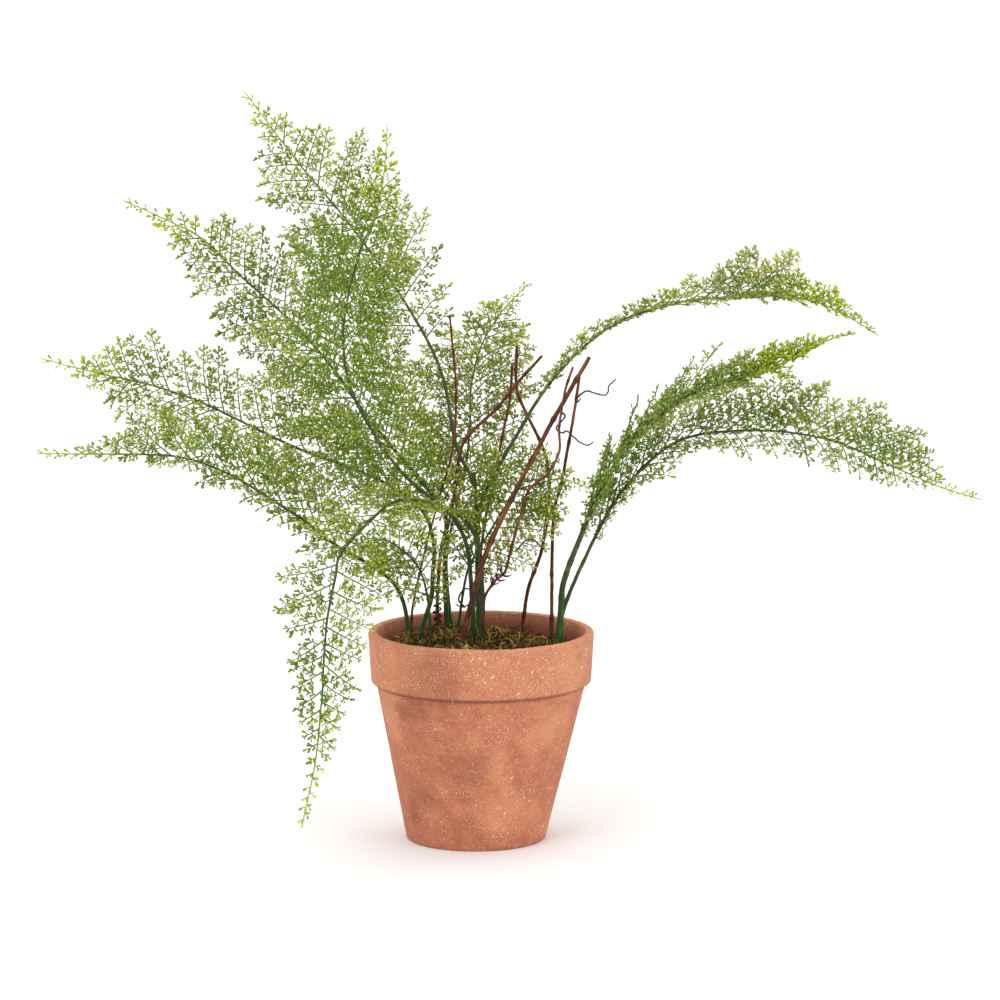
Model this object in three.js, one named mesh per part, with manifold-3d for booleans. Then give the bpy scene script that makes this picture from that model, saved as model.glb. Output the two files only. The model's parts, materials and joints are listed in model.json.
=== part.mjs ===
// A potted maidenhair-type fern: a terracotta pot with a moss-topped fill, wiry green stems that arch
// out of it and carry feathery fronds, bare brown twigs and thin curling tendrils. Millimetres, +Z up,
// standing on Z = 0.
import * as THREE from 'three';
import { mergeVertices } from 'three/addons/utils/BufferGeometryUtils.js';
import Module from 'manifold-3d';

const wasm = await Module();
wasm.setup();

// ---- Driving dimensions ----
const POT_HEIGHT = 142;
const RIM_RADIUS = 76;
const BAND_HEIGHT = 34.5;
const BAND_LOWER_RADIUS = 74;
const BODY_TOP_RADIUS = 70.5;
const BASE_RADIUS = 47.5;
const POT_WALL = 6;
const POT_FLOOR = 8;
const DRAIN_RADIUS = 8;
const EDGE_ROUND = 2;
const POT_SIDES = 48;

const MOSS_BELOW_RIM = 14;
const MOSS_THICKNESS = 14;
const MOSS_SWELL = 4;
const STEM_DEPTH = 30;
const FOOT_LEAN = 0.96;

const PLANT_HEIGHT = 360;
const PLANT_REACH = 334;
const BLADE_WIDTH_SCALE = 1;
const BLADE_THICKNESS = 1.4;
const STEM_SCALE = 1;
const CLEARANCE = 0.35;

const TENDRIL_RADIUS = 0.45;
const COIL_TURNS = 4;
const COIL_PITCH = 4.5;
const COIL_ABOVE_MOSS = 8;
const COIL_POINTS_PER_TURN = 8;

// The height above the moss and the reach from the pot's axis at which the routes below are drawn.
const DRAWN_HEIGHT = 360;
const DRAWN_REACH = 334;
const DRAWN_MOUTH_RADIUS = 70;
// Above this height over the moss a route spreads with the plant, and at the moss it spreads with the
// pot's mouth.
const CROWN_HEIGHT = 60;

// ---- Sizes that follow ----
const MOSS_LEVEL = POT_HEIGHT - MOSS_BELOW_RIM;
const MOUTH_RADIUS = RIM_RADIUS - POT_WALL;
const BODY_HEIGHT = POT_HEIGHT - BAND_HEIGHT;
const MOSS_UNDERSIDE = MOSS_LEVEL - MOSS_THICKNESS;

const COLOURS = {
  terracotta: 0xc57558,
  fill: 0x4a3a2a,
  moss: 0x5a5528,
  stem: 0x32501f,
  leaf: 0x8aa650,
  twig: 0x8c462d,
  tendril: 0x4a4048,
};

// ---- Routes: a few points each, as [x, y, height above the moss], from the foot to the tip ----
const CENTRAL_TRUNK = [[-1, 30, 0], [-2, 31, 38], [-3, 33, 82], [-3, 34, 94]];
const ROUTES = {
  back_left: [[-2, 31, 38], [-3, 34, 83], [-6, 42, 109], [-17, 55, 131], [-28, 72, 181], [-52, 94, 224],
    [-91, 120, 276], [-126, 138, 316], [-165, 150, 366]],
  right_high: [[-2, 31, 38], [-2, 34, 81], [1, 35, 97], [7, 36, 111], [22, 39, 137], [43, 44, 171],
    [67, 50, 197], [94, 57, 216], [135, 66, 228], [176, 75, 231], [211, 83, 230], [239, 89, 222],
    [273, 96, 202]],
  right_middle: [[52, 14, 0], [54, 13, 30], [56, 11, 46], [66, 7, 74], [80, -2, 109], [96, -12, 138],
    [115, -25, 160], [138, -40, 179], [170, -58, 192], [201, -74, 206], [226, -86, 221],
    [243, -93, 226]],
  right_low: [[52, 14, 0], [54, 14, 18], [58, 15, 32], [69, 16, 58], [88, 14, 96], [107, 10, 121],
    [127, 4, 139], [146, -3, 147], [172, -12, 151], [205, -21, 151], [238, -29, 145], [271, -36, 131],
    [303, -42, 118], [330, -46, 110]],
  left_high: [[-23, 46, 0], [-25, 46, 45], [-24, 47, 81], [-31, 49, 95], [-76, 62, 148], [-103, 72, 184],
    [-131, 81, 214], [-162, 90, 241], [-191, 97, 268], [-214, 101, 280], [-246, 105, 294]],
  upright: [[-5, 20, 0], [-7, 19, 45], [-10, 17, 69], [-18, 14, 87], [-30, 10, 99], [-54, 2, 122],
    [-77, -8, 158], [-88, -16, 186], [-91, -24, 213], [-88, -30, 240], [-79, -36, 274], [-69, -38, 297],
    [-63, -38, 327], [-61, -35, 356]],
  left_middle: [[-42, 28, 0], [-34, 28, 30], [-33, 28, 48], [-32, 29, 67], [-39, 31, 89], [-58, 33, 105],
    [-89, 36, 119], [-123, 39, 131], [-157, 42, 147], [-191, 44, 163], [-224, 46, 174], [-264, 47, 183],
    [-298, 47, 192]],
  left_low: [[-48, 20, 0], [-53, 16, 31], [-65, 9, 50], [-98, -5, 73], [-117, -15, 90], [-134, -23, 103],
    [-159, -35, 121], [-185, -47, 135], [-211, -55, 141], [-249, -66, 143], [-289, -75, 145]],
  drooping: [[1, 12, 0], [1, 13, 39], [-1, 13, 64], [-7, 10, 82], [-21, 0, 96], [-46, -24, 106],
    [-56, -36, 107], [-68, -56, 102], [-90, -92, 83], [-94, -105, 68], [-99, -124, 43], [-101, -136, 14],
    [-102, -142, -6], [-106, -148, -44], [-115, -150, -88]],
  back_centre: [[-20, 56, 0], [-24, 61, 50], [-17, 68, 88], [-11, 75, 112], [-8, 84, 141], [-7, 96, 167],
    [0, 112, 193], [15, 128, 216], [33, 140, 233]],
  centre_short: [[-16, 36, 0], [-11, 30, 42], [-5, 26, 59], [5, 23, 76], [15, 19, 93], [25, 13, 107],
    [39, 3, 113], [53, -8, 118], [72, -22, 114]],
  inner_short: [[-33, 8, 0], [-36, 1, 36], [-42, -8, 58], [-54, -20, 73], [-68, -33, 81], [-86, -45, 78]],
};

// Each frond: its stem's radius at the foot, where along the stem its leaves start, their half width,
// the way that the blade faces at its start and at its tip, and how far its two sides fold up towards
// each other, in degrees.
const FRONDS = {
  back_left: { radius: 1.7, start: 0.46, half: 44, faces: [[0.1, -1, 0.1], [0, -0.8, 0.5]], fold: 8 },
  right_high: { radius: 1.7, start: 0.36, half: 27, faces: [[-0.5, 0, 0.9], [0, -0.6, 0.8]], fold: 24 },
  right_middle: { radius: 2.6, start: 0.36, half: 21, faces: [[-0.5, 0.3, 0.8], [0, 0.2, 1]], fold: 16 },
  right_low: { radius: 1.6, start: 0.28, half: 26, faces: [[-0.6, -0.5, 0.6], [0.1, -0.8, 0.6]], fold: 10 },
  left_high: { radius: 2.0, start: 0.34, half: 42, faces: [[0.2, -1, 0.2], [0.1, -0.9, 0.4]], fold: 8 },
  upright: { radius: 1.9, start: 0.36, half: 44, faces: [[-0.3, -1, 0], [0.2, -1, 0]], fold: 6 },
  left_middle: { radius: 1.9, start: 0.32, half: 33, faces: [[0.2, -0.9, 0.4], [0.1, -0.7, 0.7]], fold: 8 },
  left_low: { radius: 1.7, start: 0.26, half: 23, faces: [[0.2, -0.8, 0.5], [0, -0.7, 0.7]], fold: 10 },
  drooping: { radius: 1.8, start: 0.4, half: 29, faces: [[0, 0, 1], [-0.3, -1, 0]], fold: 6 },
  back_centre: { radius: 1.4, start: 0.4, half: 34, faces: [[0, -1, 0], [-0.3, -0.8, 0.5]], fold: 8 },
  centre_short: { radius: 1.2, start: 0.34, half: 22, faces: [[-0.2, -1, 0.2], [0, -0.9, 0.4]], fold: 6 },
  inner_short: { radius: 1.2, start: 0.28, half: 20, faces: [[0, -1, 0.3], [-0.2, -0.9, 0.4]], fold: 6 },
};

// The radius that a frond's stem tapers to, and how its half width runs along the blade: [share of
// length, share].
const STEM_TIP_RADIUS = 0.5;
const BLADE_OUTLINE = [[0, 0.55], [0.1, 0.92], [0.25, 1], [0.5, 0.74], [0.8, 0.34], [1, 0.05]];
const BLADE_END = 0.99;
const BLADE_STEPS = 12;
const BLADE_LIFT = 1.2;
const STEM_SIDES = 6;
const STEM_STEP_LENGTH = 20;

// A trimmed side shoot stands on the central stem's fork.
const STUB_ROUTE = [[-3, 33, 78], [-4, 30, 96], [-5, 28, 117]];
const STUB_RADIUS = 1.3;

// Each twig: its radius at the foot and at its cut end, and its route.
const TWIGS = {
  twig_coiled: { radii: [1.4, 1], route: [[-29.5, 36, 0], [-29.5, 37, 35], [-27, 38, 64],
    [-20, 40, 89], [-15, 42, 124], [-11, 43, 137], [-2, 42, 147], [11, 41, 159], [22, 40, 173],
    [33, 39, 186], [41, 38, 195]] },
  twig_thick: { radii: [2.1, 1.4], route: [[-14, 1, 0], [0, 0, 56], [10, -2, 82], [23.5, -4, 110],
    [40, -6, 142], [50, -8, 161], [72, -10, 200]] },
  twig_hooked: { radii: [1, 0.8], route: [[2, -1, 0], [2, -1, 33], [9, -2, 47], [16, -3, 54],
    [20, -6, 70], [26, -11, 92], [32, -13, 111], [44, -15, 122], [52, -17, 138], [52, -19, 155],
    [56, -20, 179], [61, -21, 195]] },
  twig_back_right: { radii: [1.4, 1], route: [[27, 50, 0], [32, 49, 33], [42, 48, 64], [46, 48, 105],
    [42, 50, 130], [31, 51, 153], [24, 52, 171], [24, 53, 200]] },
  twig_straight: { radii: [1.4, 1], route: [[47, 35, 0], [48, 34, 47], [49, 32, 87], [54, 30, 108],
    [59, 27, 137], [63, 24, 160], [66, 22, 183]] },
  twig_slender: { radii: [0.9, 0.7], route: [[-47, 38, 0], [-46, 38, 27], [-33, 36, 82], [-22, 36, 120],
    [-18, 36, 140], [-17, 37, 160], [-17, 37, 176], [-19, 38, 198], [-21, 38, 222]] },
  twig_back: { radii: [1.2, 0.9], route: [[-7, 55, 0], [-5, 54, 20], [2, 52, 77], [7.5, 50, 101],
    [11, 49, 120], [15, 48, 143], [19, 48, 160], [21, 47, 189]] },
};
const TWIG_SIDES = 6;

// Tendrils: free ends of thin wire that start beside a twig and curl in the air.
const TENDRILS = {
  tendril_upper: [[64, -13, 173], [67, -15, 176], [71, -16, 178], [77, -18, 176.5], [82, -19, 175.5],
    [84.5, -18, 178], [85, -18, 182], [90, -17, 186]],
  tendril_middle: [[57, -22, 146], [62, -24, 143], [66, -24, 139], [71, -23, 139]],
  tendril_loop: [[-11, -3, 30], [-15, -6, 36], [-12, -8, 43], [-7, -7, 42], [-6, -5, 35], [-11, -7, 31],
    [-17, -9, 33]],
  tendril_low: [[24, -9, 70], [29, -10, 76], [35, -11, 77], [40, -12, 73]],
};
const TENDRIL_SIDES = 5;
const TENDRIL_STEP_LENGTH = 3.5;
const COIL_STEP_LENGTH = 2.4;

// A point of a route in its real place: near the moss it spreads with the pot's mouth, further out
// with the plant.
function placed([x, y, height]) {
  const above = THREE.MathUtils.smoothstep(height, 0, CROWN_HEIGHT);
  const outside = THREE.MathUtils.smoothstep(Math.hypot(x, y), DRAWN_MOUTH_RADIUS, DRAWN_MOUTH_RADIUS * 1.5);
  const mouthSpread = MOUTH_RADIUS / DRAWN_MOUTH_RADIUS;
  const spread = THREE.MathUtils.lerp(mouthSpread, PLANT_REACH / DRAWN_REACH, Math.max(above, outside));
  return new THREE.Vector3(x * spread, y * spread, MOSS_LEVEL + height * (PLANT_HEIGHT / DRAWN_HEIGHT));
}

const curveThrough = (points) => new THREE.CatmullRomCurve3(points, false, 'catmullrom', 0.5);

// A route that starts in the fill: below the moss it leans in with the pot's wall, down by the
// planting depth.
function planted(route) {
  const points = route.map(placed);
  const depth = MOSS_LEVEL - STEM_DEPTH;
  const lean = FOOT_LEAN * innerRadiusAt(depth) / MOUTH_RADIUS;
  const foot = new THREE.Vector3(points[0].x * lean, points[0].y * lean, depth);
  return curveThrough([foot, ...points]);
}

// A closed body from rings of equal point counts: neighbours are joined by quads, and both ends are
// capped.
function skinned(rings) {
  const count = rings[0].length;
  const positions = rings.flat().flatMap((p) => [p.x, p.y, p.z]);
  const index = [];
  for (let r = 0; r < rings.length - 1; r += 1) {
    for (let k = 0; k < count; k += 1) {
      const a = r * count + k;
      const b = r * count + ((k + 1) % count);
      index.push(a, b, a + count, b, b + count, a + count);
    }
  }
  const last = (rings.length - 1) * count;
  for (let k = 1; k < count - 1; k += 1) {
    index.push(0, k + 1, k);
    index.push(last, last + k, last + k + 1);
  }
  const geometry = new THREE.BufferGeometry();
  geometry.setAttribute('position', new THREE.Float32BufferAttribute(positions, 3));
  geometry.setIndex(index);
  return geometry;
}

// A round bar along a curve whose radius is radiusAt(share of its length).
function bar(curve, radiusAt, sides, stepLength) {
  const steps = Math.max(3, Math.round(curve.getLength() / stepLength));
  const frames = curve.computeFrenetFrames(steps, false);
  const rings = [];
  for (let i = 0; i <= steps; i += 1) {
    const u = i / steps;
    const centre = curve.getPointAt(u);
    const ring = [];
    for (let k = 0; k < sides; k += 1) {
      const turn = (2 * Math.PI * k) / sides;
      const out = frames.normals[i].clone().multiplyScalar(Math.cos(turn));
      out.addScaledVector(frames.binormals[i], Math.sin(turn));
      ring.push(centre.clone().addScaledVector(out, radiusAt(u)));
    }
    rings.push(ring);
  }
  return skinned(rings);
}

const TAPER_POWER = 0.8;
const tapered = (from, to) => (u) => THREE.MathUtils.lerp(from, to, Math.pow(u, TAPER_POWER));

// How far along a rising curve, as a share of its length, it reaches a height.
function shareAtHeight(curve, height) {
  let [low, high] = [0, 1];
  for (let i = 0; i < 24; i += 1) {
    const middle = (low + high) / 2;
    if (curve.getPointAt(middle).z < height) low = middle;
    else high = middle;
  }
  return low;
}

// ---- Joining and cutting ----
function asSolid(geometry) {
  const bare = geometry.clone();
  bare.deleteAttribute('normal');
  bare.deleteAttribute('uv');
  const merged = mergeVertices(bare, 1e-4);
  return new wasm.Manifold(new wasm.Mesh({
    numProp: 3,
    vertProperties: new Float32Array(merged.attributes.position.array),
    triVerts: new Uint32Array(merged.index.array),
  }));
}

function asGeometry(solid) {
  const mesh = solid.getMesh();
  const geometry = new THREE.BufferGeometry();
  geometry.setAttribute('position', new THREE.Float32BufferAttribute(mesh.vertProperties, 3));
  geometry.setIndex(Array.from(mesh.triVerts));
  return geometry;
}

// ---- Pot, fill and moss ----
const outerRadiusAt = (z) => THREE.MathUtils.lerp(BASE_RADIUS, BODY_TOP_RADIUS, z / BODY_HEIGHT);
const innerRadiusAt = (z) => (
  z > BODY_HEIGHT
    ? THREE.MathUtils.lerp(BODY_TOP_RADIUS - POT_WALL, MOUTH_RADIUS, (z - BODY_HEIGHT) / BAND_HEIGHT)
    : outerRadiusAt(z) - POT_WALL
);

// A quarter-round corner at (r, z) as three points: it starts dr to the side of the corner and ends dz
// above it.
const ROUND_MIDDLE = 0.3;
const rounded = (r, z, dr, dz) => [
  new THREE.Vector2(r + dr, z),
  new THREE.Vector2(r + dr * ROUND_MIDDLE, z + dz * ROUND_MIDDLE),
  new THREE.Vector2(r, z + dz),
];

function latheZ(profile, sides) {
  const geometry = new THREE.LatheGeometry(profile, sides);
  geometry.rotateX(Math.PI / 2);
  return geometry;
}

function potGeometry() {
  const profile = [
    new THREE.Vector2(DRAIN_RADIUS, 0),
    ...rounded(BASE_RADIUS, 0, -EDGE_ROUND, EDGE_ROUND),
    new THREE.Vector2(BODY_TOP_RADIUS, BODY_HEIGHT),
    ...rounded(BAND_LOWER_RADIUS, BODY_HEIGHT, -EDGE_ROUND / 2, EDGE_ROUND / 2),
    ...rounded(RIM_RADIUS, POT_HEIGHT, -EDGE_ROUND, -EDGE_ROUND).reverse(),
    ...rounded(MOUTH_RADIUS, POT_HEIGHT, EDGE_ROUND / 2, -EDGE_ROUND / 2),
    new THREE.Vector2(innerRadiusAt(BODY_HEIGHT), BODY_HEIGHT),
    new THREE.Vector2(innerRadiusAt(POT_FLOOR), POT_FLOOR),
    new THREE.Vector2(DRAIN_RADIUS, POT_FLOOR),
    new THREE.Vector2(DRAIN_RADIUS, 0),
  ];
  return latheZ(profile, POT_SIDES);
}

function fillGeometry() {
  const low = POT_FLOOR + CLEARANCE;
  const high = MOSS_UNDERSIDE - CLEARANCE;
  const inset = CLEARANCE * 1.5;
  const profile = [
    new THREE.Vector2(0, low),
    new THREE.Vector2(innerRadiusAt(low) - inset, low),
    new THREE.Vector2(innerRadiusAt(Math.min(BODY_HEIGHT, high)) - inset, Math.min(BODY_HEIGHT, high)),
    new THREE.Vector2(innerRadiusAt(high) - inset, high),
    new THREE.Vector2(0, high),
  ];
  return latheZ(profile, POT_SIDES);
}

// The moss is a low cushion that dips to the pot's wall and swells in soft mounds towards its middle.
const MOSS_RINGS = 5;
const MOUND_WIDTHS = [29, 24];
const MOUND_SHIFT = 1;
function mossGeometry() {
  const inset = CLEARANCE * 1.5;
  const edge = MOSS_LEVEL - MOSS_SWELL / 2;
  const profile = [
    new THREE.Vector2(0, MOSS_UNDERSIDE),
    new THREE.Vector2(innerRadiusAt(MOSS_UNDERSIDE) - inset, MOSS_UNDERSIDE),
  ];
  for (let i = 0; i <= MOSS_RINGS; i += 1) {
    const inwards = i / MOSS_RINGS;
    const radius = (innerRadiusAt(edge) - inset) * (1 - inwards);
    profile.push(new THREE.Vector2(radius, edge + MOSS_SWELL * Math.sin(inwards * Math.PI / 2)));
  }
  const geometry = latheZ(profile, POT_SIDES / 2);
  const position = geometry.attributes.position;
  for (let i = 0; i < position.count; i += 1) {
    const [x, y, z] = [position.getX(i), position.getY(i), position.getZ(i)];
    const towardsMiddle = Math.min(1, 4 * (1 - Math.hypot(x, y) / MOUTH_RADIUS));
    const across = Math.sin(Math.PI * x / MOUND_WIDTHS[0] + MOUND_SHIFT);
    const wave = across * Math.cos(Math.PI * y / MOUND_WIDTHS[1]);
    if (z > MOSS_UNDERSIDE) position.setZ(i, z + wave * towardsMiddle * MOSS_SWELL / 2);
  }
  return geometry;
}

// ---- Fronds ----
function widthShare(along) {
  const next = BLADE_OUTLINE.findIndex(([at]) => at >= along);
  if (next <= 0) return BLADE_OUTLINE[0][1];
  const [from, fromShare] = BLADE_OUTLINE[next - 1];
  const [to, toShare] = BLADE_OUTLINE[next];
  return THREE.MathUtils.mapLinear(along, from, to, fromShare, toShare);
}

// The plain body of a frond's leaves: a thin folded strip that follows the stem just above it.
function bladeGeometry(curve, frond, radiusAt) {
  const [startFace, endFace] = frond.faces.map((way) => new THREE.Vector3(...way));
  const fold = THREE.MathUtils.degToRad(frond.fold);
  const rings = [];
  for (let i = 0; i <= BLADE_STEPS; i += 1) {
    const along = i / BLADE_STEPS;
    const u = THREE.MathUtils.lerp(frond.start, BLADE_END, along);
    const tangent = curve.getTangentAt(u);
    const face = startFace.clone().lerp(endFace, along);
    face.addScaledVector(tangent, -face.dot(tangent)).normalize();
    const side = tangent.clone().cross(face);
    const width = frond.half * BLADE_WIDTH_SCALE * widthShare(along);
    const middle = curve.getPointAt(u).addScaledVector(face, radiusAt(u) + BLADE_LIFT);
    const edge = (way) => middle.clone()
      .addScaledVector(side, way * width * Math.cos(fold))
      .addScaledVector(face, width * Math.sin(fold));
    const lifted = (point) => point.clone().addScaledVector(face, BLADE_THICKNESS);
    const [left, right] = [edge(-1), edge(1)];
    rings.push([lifted(left), lifted(middle), lifted(right), right, middle, left]);
  }
  return skinned(rings);
}

// ---- Assembly ----
const group = new THREE.Group();
group.name = 'potted_fern';

function add(name, geometry, colour, roughness) {
  geometry.computeVertexNormals();
  const material = new THREE.MeshStandardMaterial({ color: colour, roughness, metalness: 0 });
  const mesh = new THREE.Mesh(geometry, material);
  mesh.name = name;
  group.add(mesh);
}

// Every stem and twig with its radius, for the bodies and for the holes that they stand in.
const rooted = [];
const frondCurves = {};
const stems = {};

for (const [name, frond] of Object.entries(FRONDS)) {
  const forked = name === 'back_left' || name === 'right_high';
  const curve = forked ? curveThrough(ROUTES[name].map(placed)) : planted(ROUTES[name]);
  const radiusAt = tapered(frond.radius * STEM_SCALE, STEM_TIP_RADIUS);
  frondCurves[name] = { curve, radiusAt };
  stems[name] = bar(curve, radiusAt, STEM_SIDES, STEM_STEP_LENGTH);
  if (!forked) rooted.push({ curve, radiusAt });
}

const trunkRadius = tapered(2.3 * STEM_SCALE, 1.9 * STEM_SCALE);
const trunkCurve = planted(CENTRAL_TRUNK);
rooted.push({ curve: trunkCurve, radiusAt: trunkRadius });

const stubCurve = curveThrough(STUB_ROUTE.map(placed));
const centralStem = asSolid(bar(trunkCurve, trunkRadius, STEM_SIDES, STEM_STEP_LENGTH))
  .add(asSolid(stems.back_left))
  .add(asSolid(stems.right_high))
  .add(asSolid(bar(stubCurve, () => STUB_RADIUS * STEM_SCALE, STEM_SIDES, STEM_STEP_LENGTH)));
const rightStem = asSolid(stems.right_middle).add(asSolid(stems.right_low));

const twigCurves = Object.entries(TWIGS).map(([name, twig]) => {
  const curve = planted(twig.route);
  const radiusAt = tapered(...twig.radii);
  rooted.push({ curve, radiusAt });
  return { name, curve, radiusAt };
});

// Each hole is the stem's own bar with the clearance added to its radius, left open at the top of the
// moss.
function withHoles(geometry) {
  let solid = asSolid(geometry);
  for (const { curve, radiusAt } of rooted) {
    const wider = (u) => radiusAt(u) + CLEARANCE * 1.4;
    solid = solid.subtract(asSolid(bar(curve, wider, STEM_SIDES, STEM_STEP_LENGTH)));
  }
  return asGeometry(solid);
}

add('pot', potGeometry(), COLOURS.terracotta, 0.9);
add('potting_fill', withHoles(fillGeometry()), COLOURS.fill, 1);
add('moss_cover', withHoles(mossGeometry()), COLOURS.moss, 1);
add('central_stem', asGeometry(centralStem), COLOURS.stem, 0.6);
add('right_stem', asGeometry(rightStem), COLOURS.stem, 0.6);

for (const [name, frond] of Object.entries(FRONDS)) {
  const { curve, radiusAt } = frondCurves[name];
  const shared = ['back_left', 'right_high', 'right_middle', 'right_low'].includes(name);
  if (!shared) add(`${name}_stem`, stems[name], COLOURS.stem, 0.6);
  add(`${name}_leaves`, bladeGeometry(curve, frond, radiusAt), COLOURS.leaf, 0.7);
}

for (const { name, curve, radiusAt } of twigCurves) {
  add(name, bar(curve, radiusAt, TWIG_SIDES, STEM_STEP_LENGTH), COLOURS.twig, 0.8);
}

for (const [name, route] of Object.entries(TENDRILS)) {
  const curve = curveThrough(route.map(placed));
  add(name, bar(curve, () => TENDRIL_RADIUS, TENDRIL_SIDES, TENDRIL_STEP_LENGTH), COLOURS.tendril, 0.6);
}

// A tendril winds round the lower part of the coiled twig.
const host = twigCurves.find(({ name }) => name === 'twig_coiled');
const coilPoints = [];
const coilStart = MOSS_LEVEL + COIL_ABOVE_MOSS;
for (let i = 0; i <= COIL_TURNS * COIL_POINTS_PER_TURN; i += 1) {
  const turns = i / COIL_POINTS_PER_TURN;
  const u = shareAtHeight(host.curve, coilStart + turns * COIL_PITCH);
  const reach = host.radiusAt(u) + CLEARANCE * 2 + TENDRIL_RADIUS;
  const along = host.curve.getTangentAt(u);
  const out = new THREE.Vector3(Math.cos(turns * 2 * Math.PI), Math.sin(turns * 2 * Math.PI), 0);
  out.addScaledVector(along, -out.dot(along)).normalize();
  coilPoints.push(host.curve.getPointAt(u).addScaledVector(out, reach));
}
const coilCurve = curveThrough(coilPoints);
const coil = bar(coilCurve, () => TENDRIL_RADIUS, TENDRIL_SIDES, COIL_STEP_LENGTH);
add('tendril_coil', coil, COLOURS.tendril, 0.6);

// The origin is the middle of the whole plant's footprint, on the surface that the pot stands on.
const box = new THREE.Box3().setFromObject(group, true);
const middle = box.getCenter(new THREE.Vector3());
group.position.set(-middle.x, -middle.y, 0);
group.updateMatrixWorld(true);

export default group;
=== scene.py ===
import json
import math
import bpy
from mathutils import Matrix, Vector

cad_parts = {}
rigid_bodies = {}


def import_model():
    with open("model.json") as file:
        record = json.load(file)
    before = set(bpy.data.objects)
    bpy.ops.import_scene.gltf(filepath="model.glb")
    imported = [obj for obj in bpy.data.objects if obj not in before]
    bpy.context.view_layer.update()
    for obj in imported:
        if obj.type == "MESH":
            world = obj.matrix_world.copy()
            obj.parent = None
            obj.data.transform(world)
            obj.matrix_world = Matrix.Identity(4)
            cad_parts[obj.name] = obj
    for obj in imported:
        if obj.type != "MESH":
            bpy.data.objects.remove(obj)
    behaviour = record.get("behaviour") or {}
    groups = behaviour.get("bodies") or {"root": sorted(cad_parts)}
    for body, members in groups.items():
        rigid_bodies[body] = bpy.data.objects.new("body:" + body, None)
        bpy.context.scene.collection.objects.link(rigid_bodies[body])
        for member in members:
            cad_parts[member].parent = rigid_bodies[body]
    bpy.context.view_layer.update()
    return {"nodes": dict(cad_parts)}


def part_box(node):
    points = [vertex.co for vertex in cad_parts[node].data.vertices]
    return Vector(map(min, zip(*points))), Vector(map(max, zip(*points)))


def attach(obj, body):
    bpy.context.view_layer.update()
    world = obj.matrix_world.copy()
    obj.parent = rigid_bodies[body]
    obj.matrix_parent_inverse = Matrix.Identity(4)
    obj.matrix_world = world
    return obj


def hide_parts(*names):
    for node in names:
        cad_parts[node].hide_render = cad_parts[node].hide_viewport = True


bl_info = {
    "name": "Potted Fern",
    "version": (1, 0, 0),
    "blender": (4, 5, 0),
    "location": "3D View > Sidebar > Potted Fern",
    "description": "Builds a moulded fern in a weathered terracotta pot around its fixed frame",
    "category": "Add Mesh",
}

from functools import partial

import bpy
import numpy as np
from bpy.props import FloatProperty, FloatVectorProperty, IntProperty, PointerProperty
from bpy.types import Operator, Panel, PropertyGroup
from mathutils import Vector, noise

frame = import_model()

MM = 0.001
PER_MM = 1000.0

POT_LOW, POT_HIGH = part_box("pot")
POT_AXIS = (POT_LOW + POT_HIGH) / 2
MOSS_BELOW_RIM = 14 * MM
MOSS_LEVEL = POT_HIGH.z - MOSS_BELOW_RIM

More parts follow.
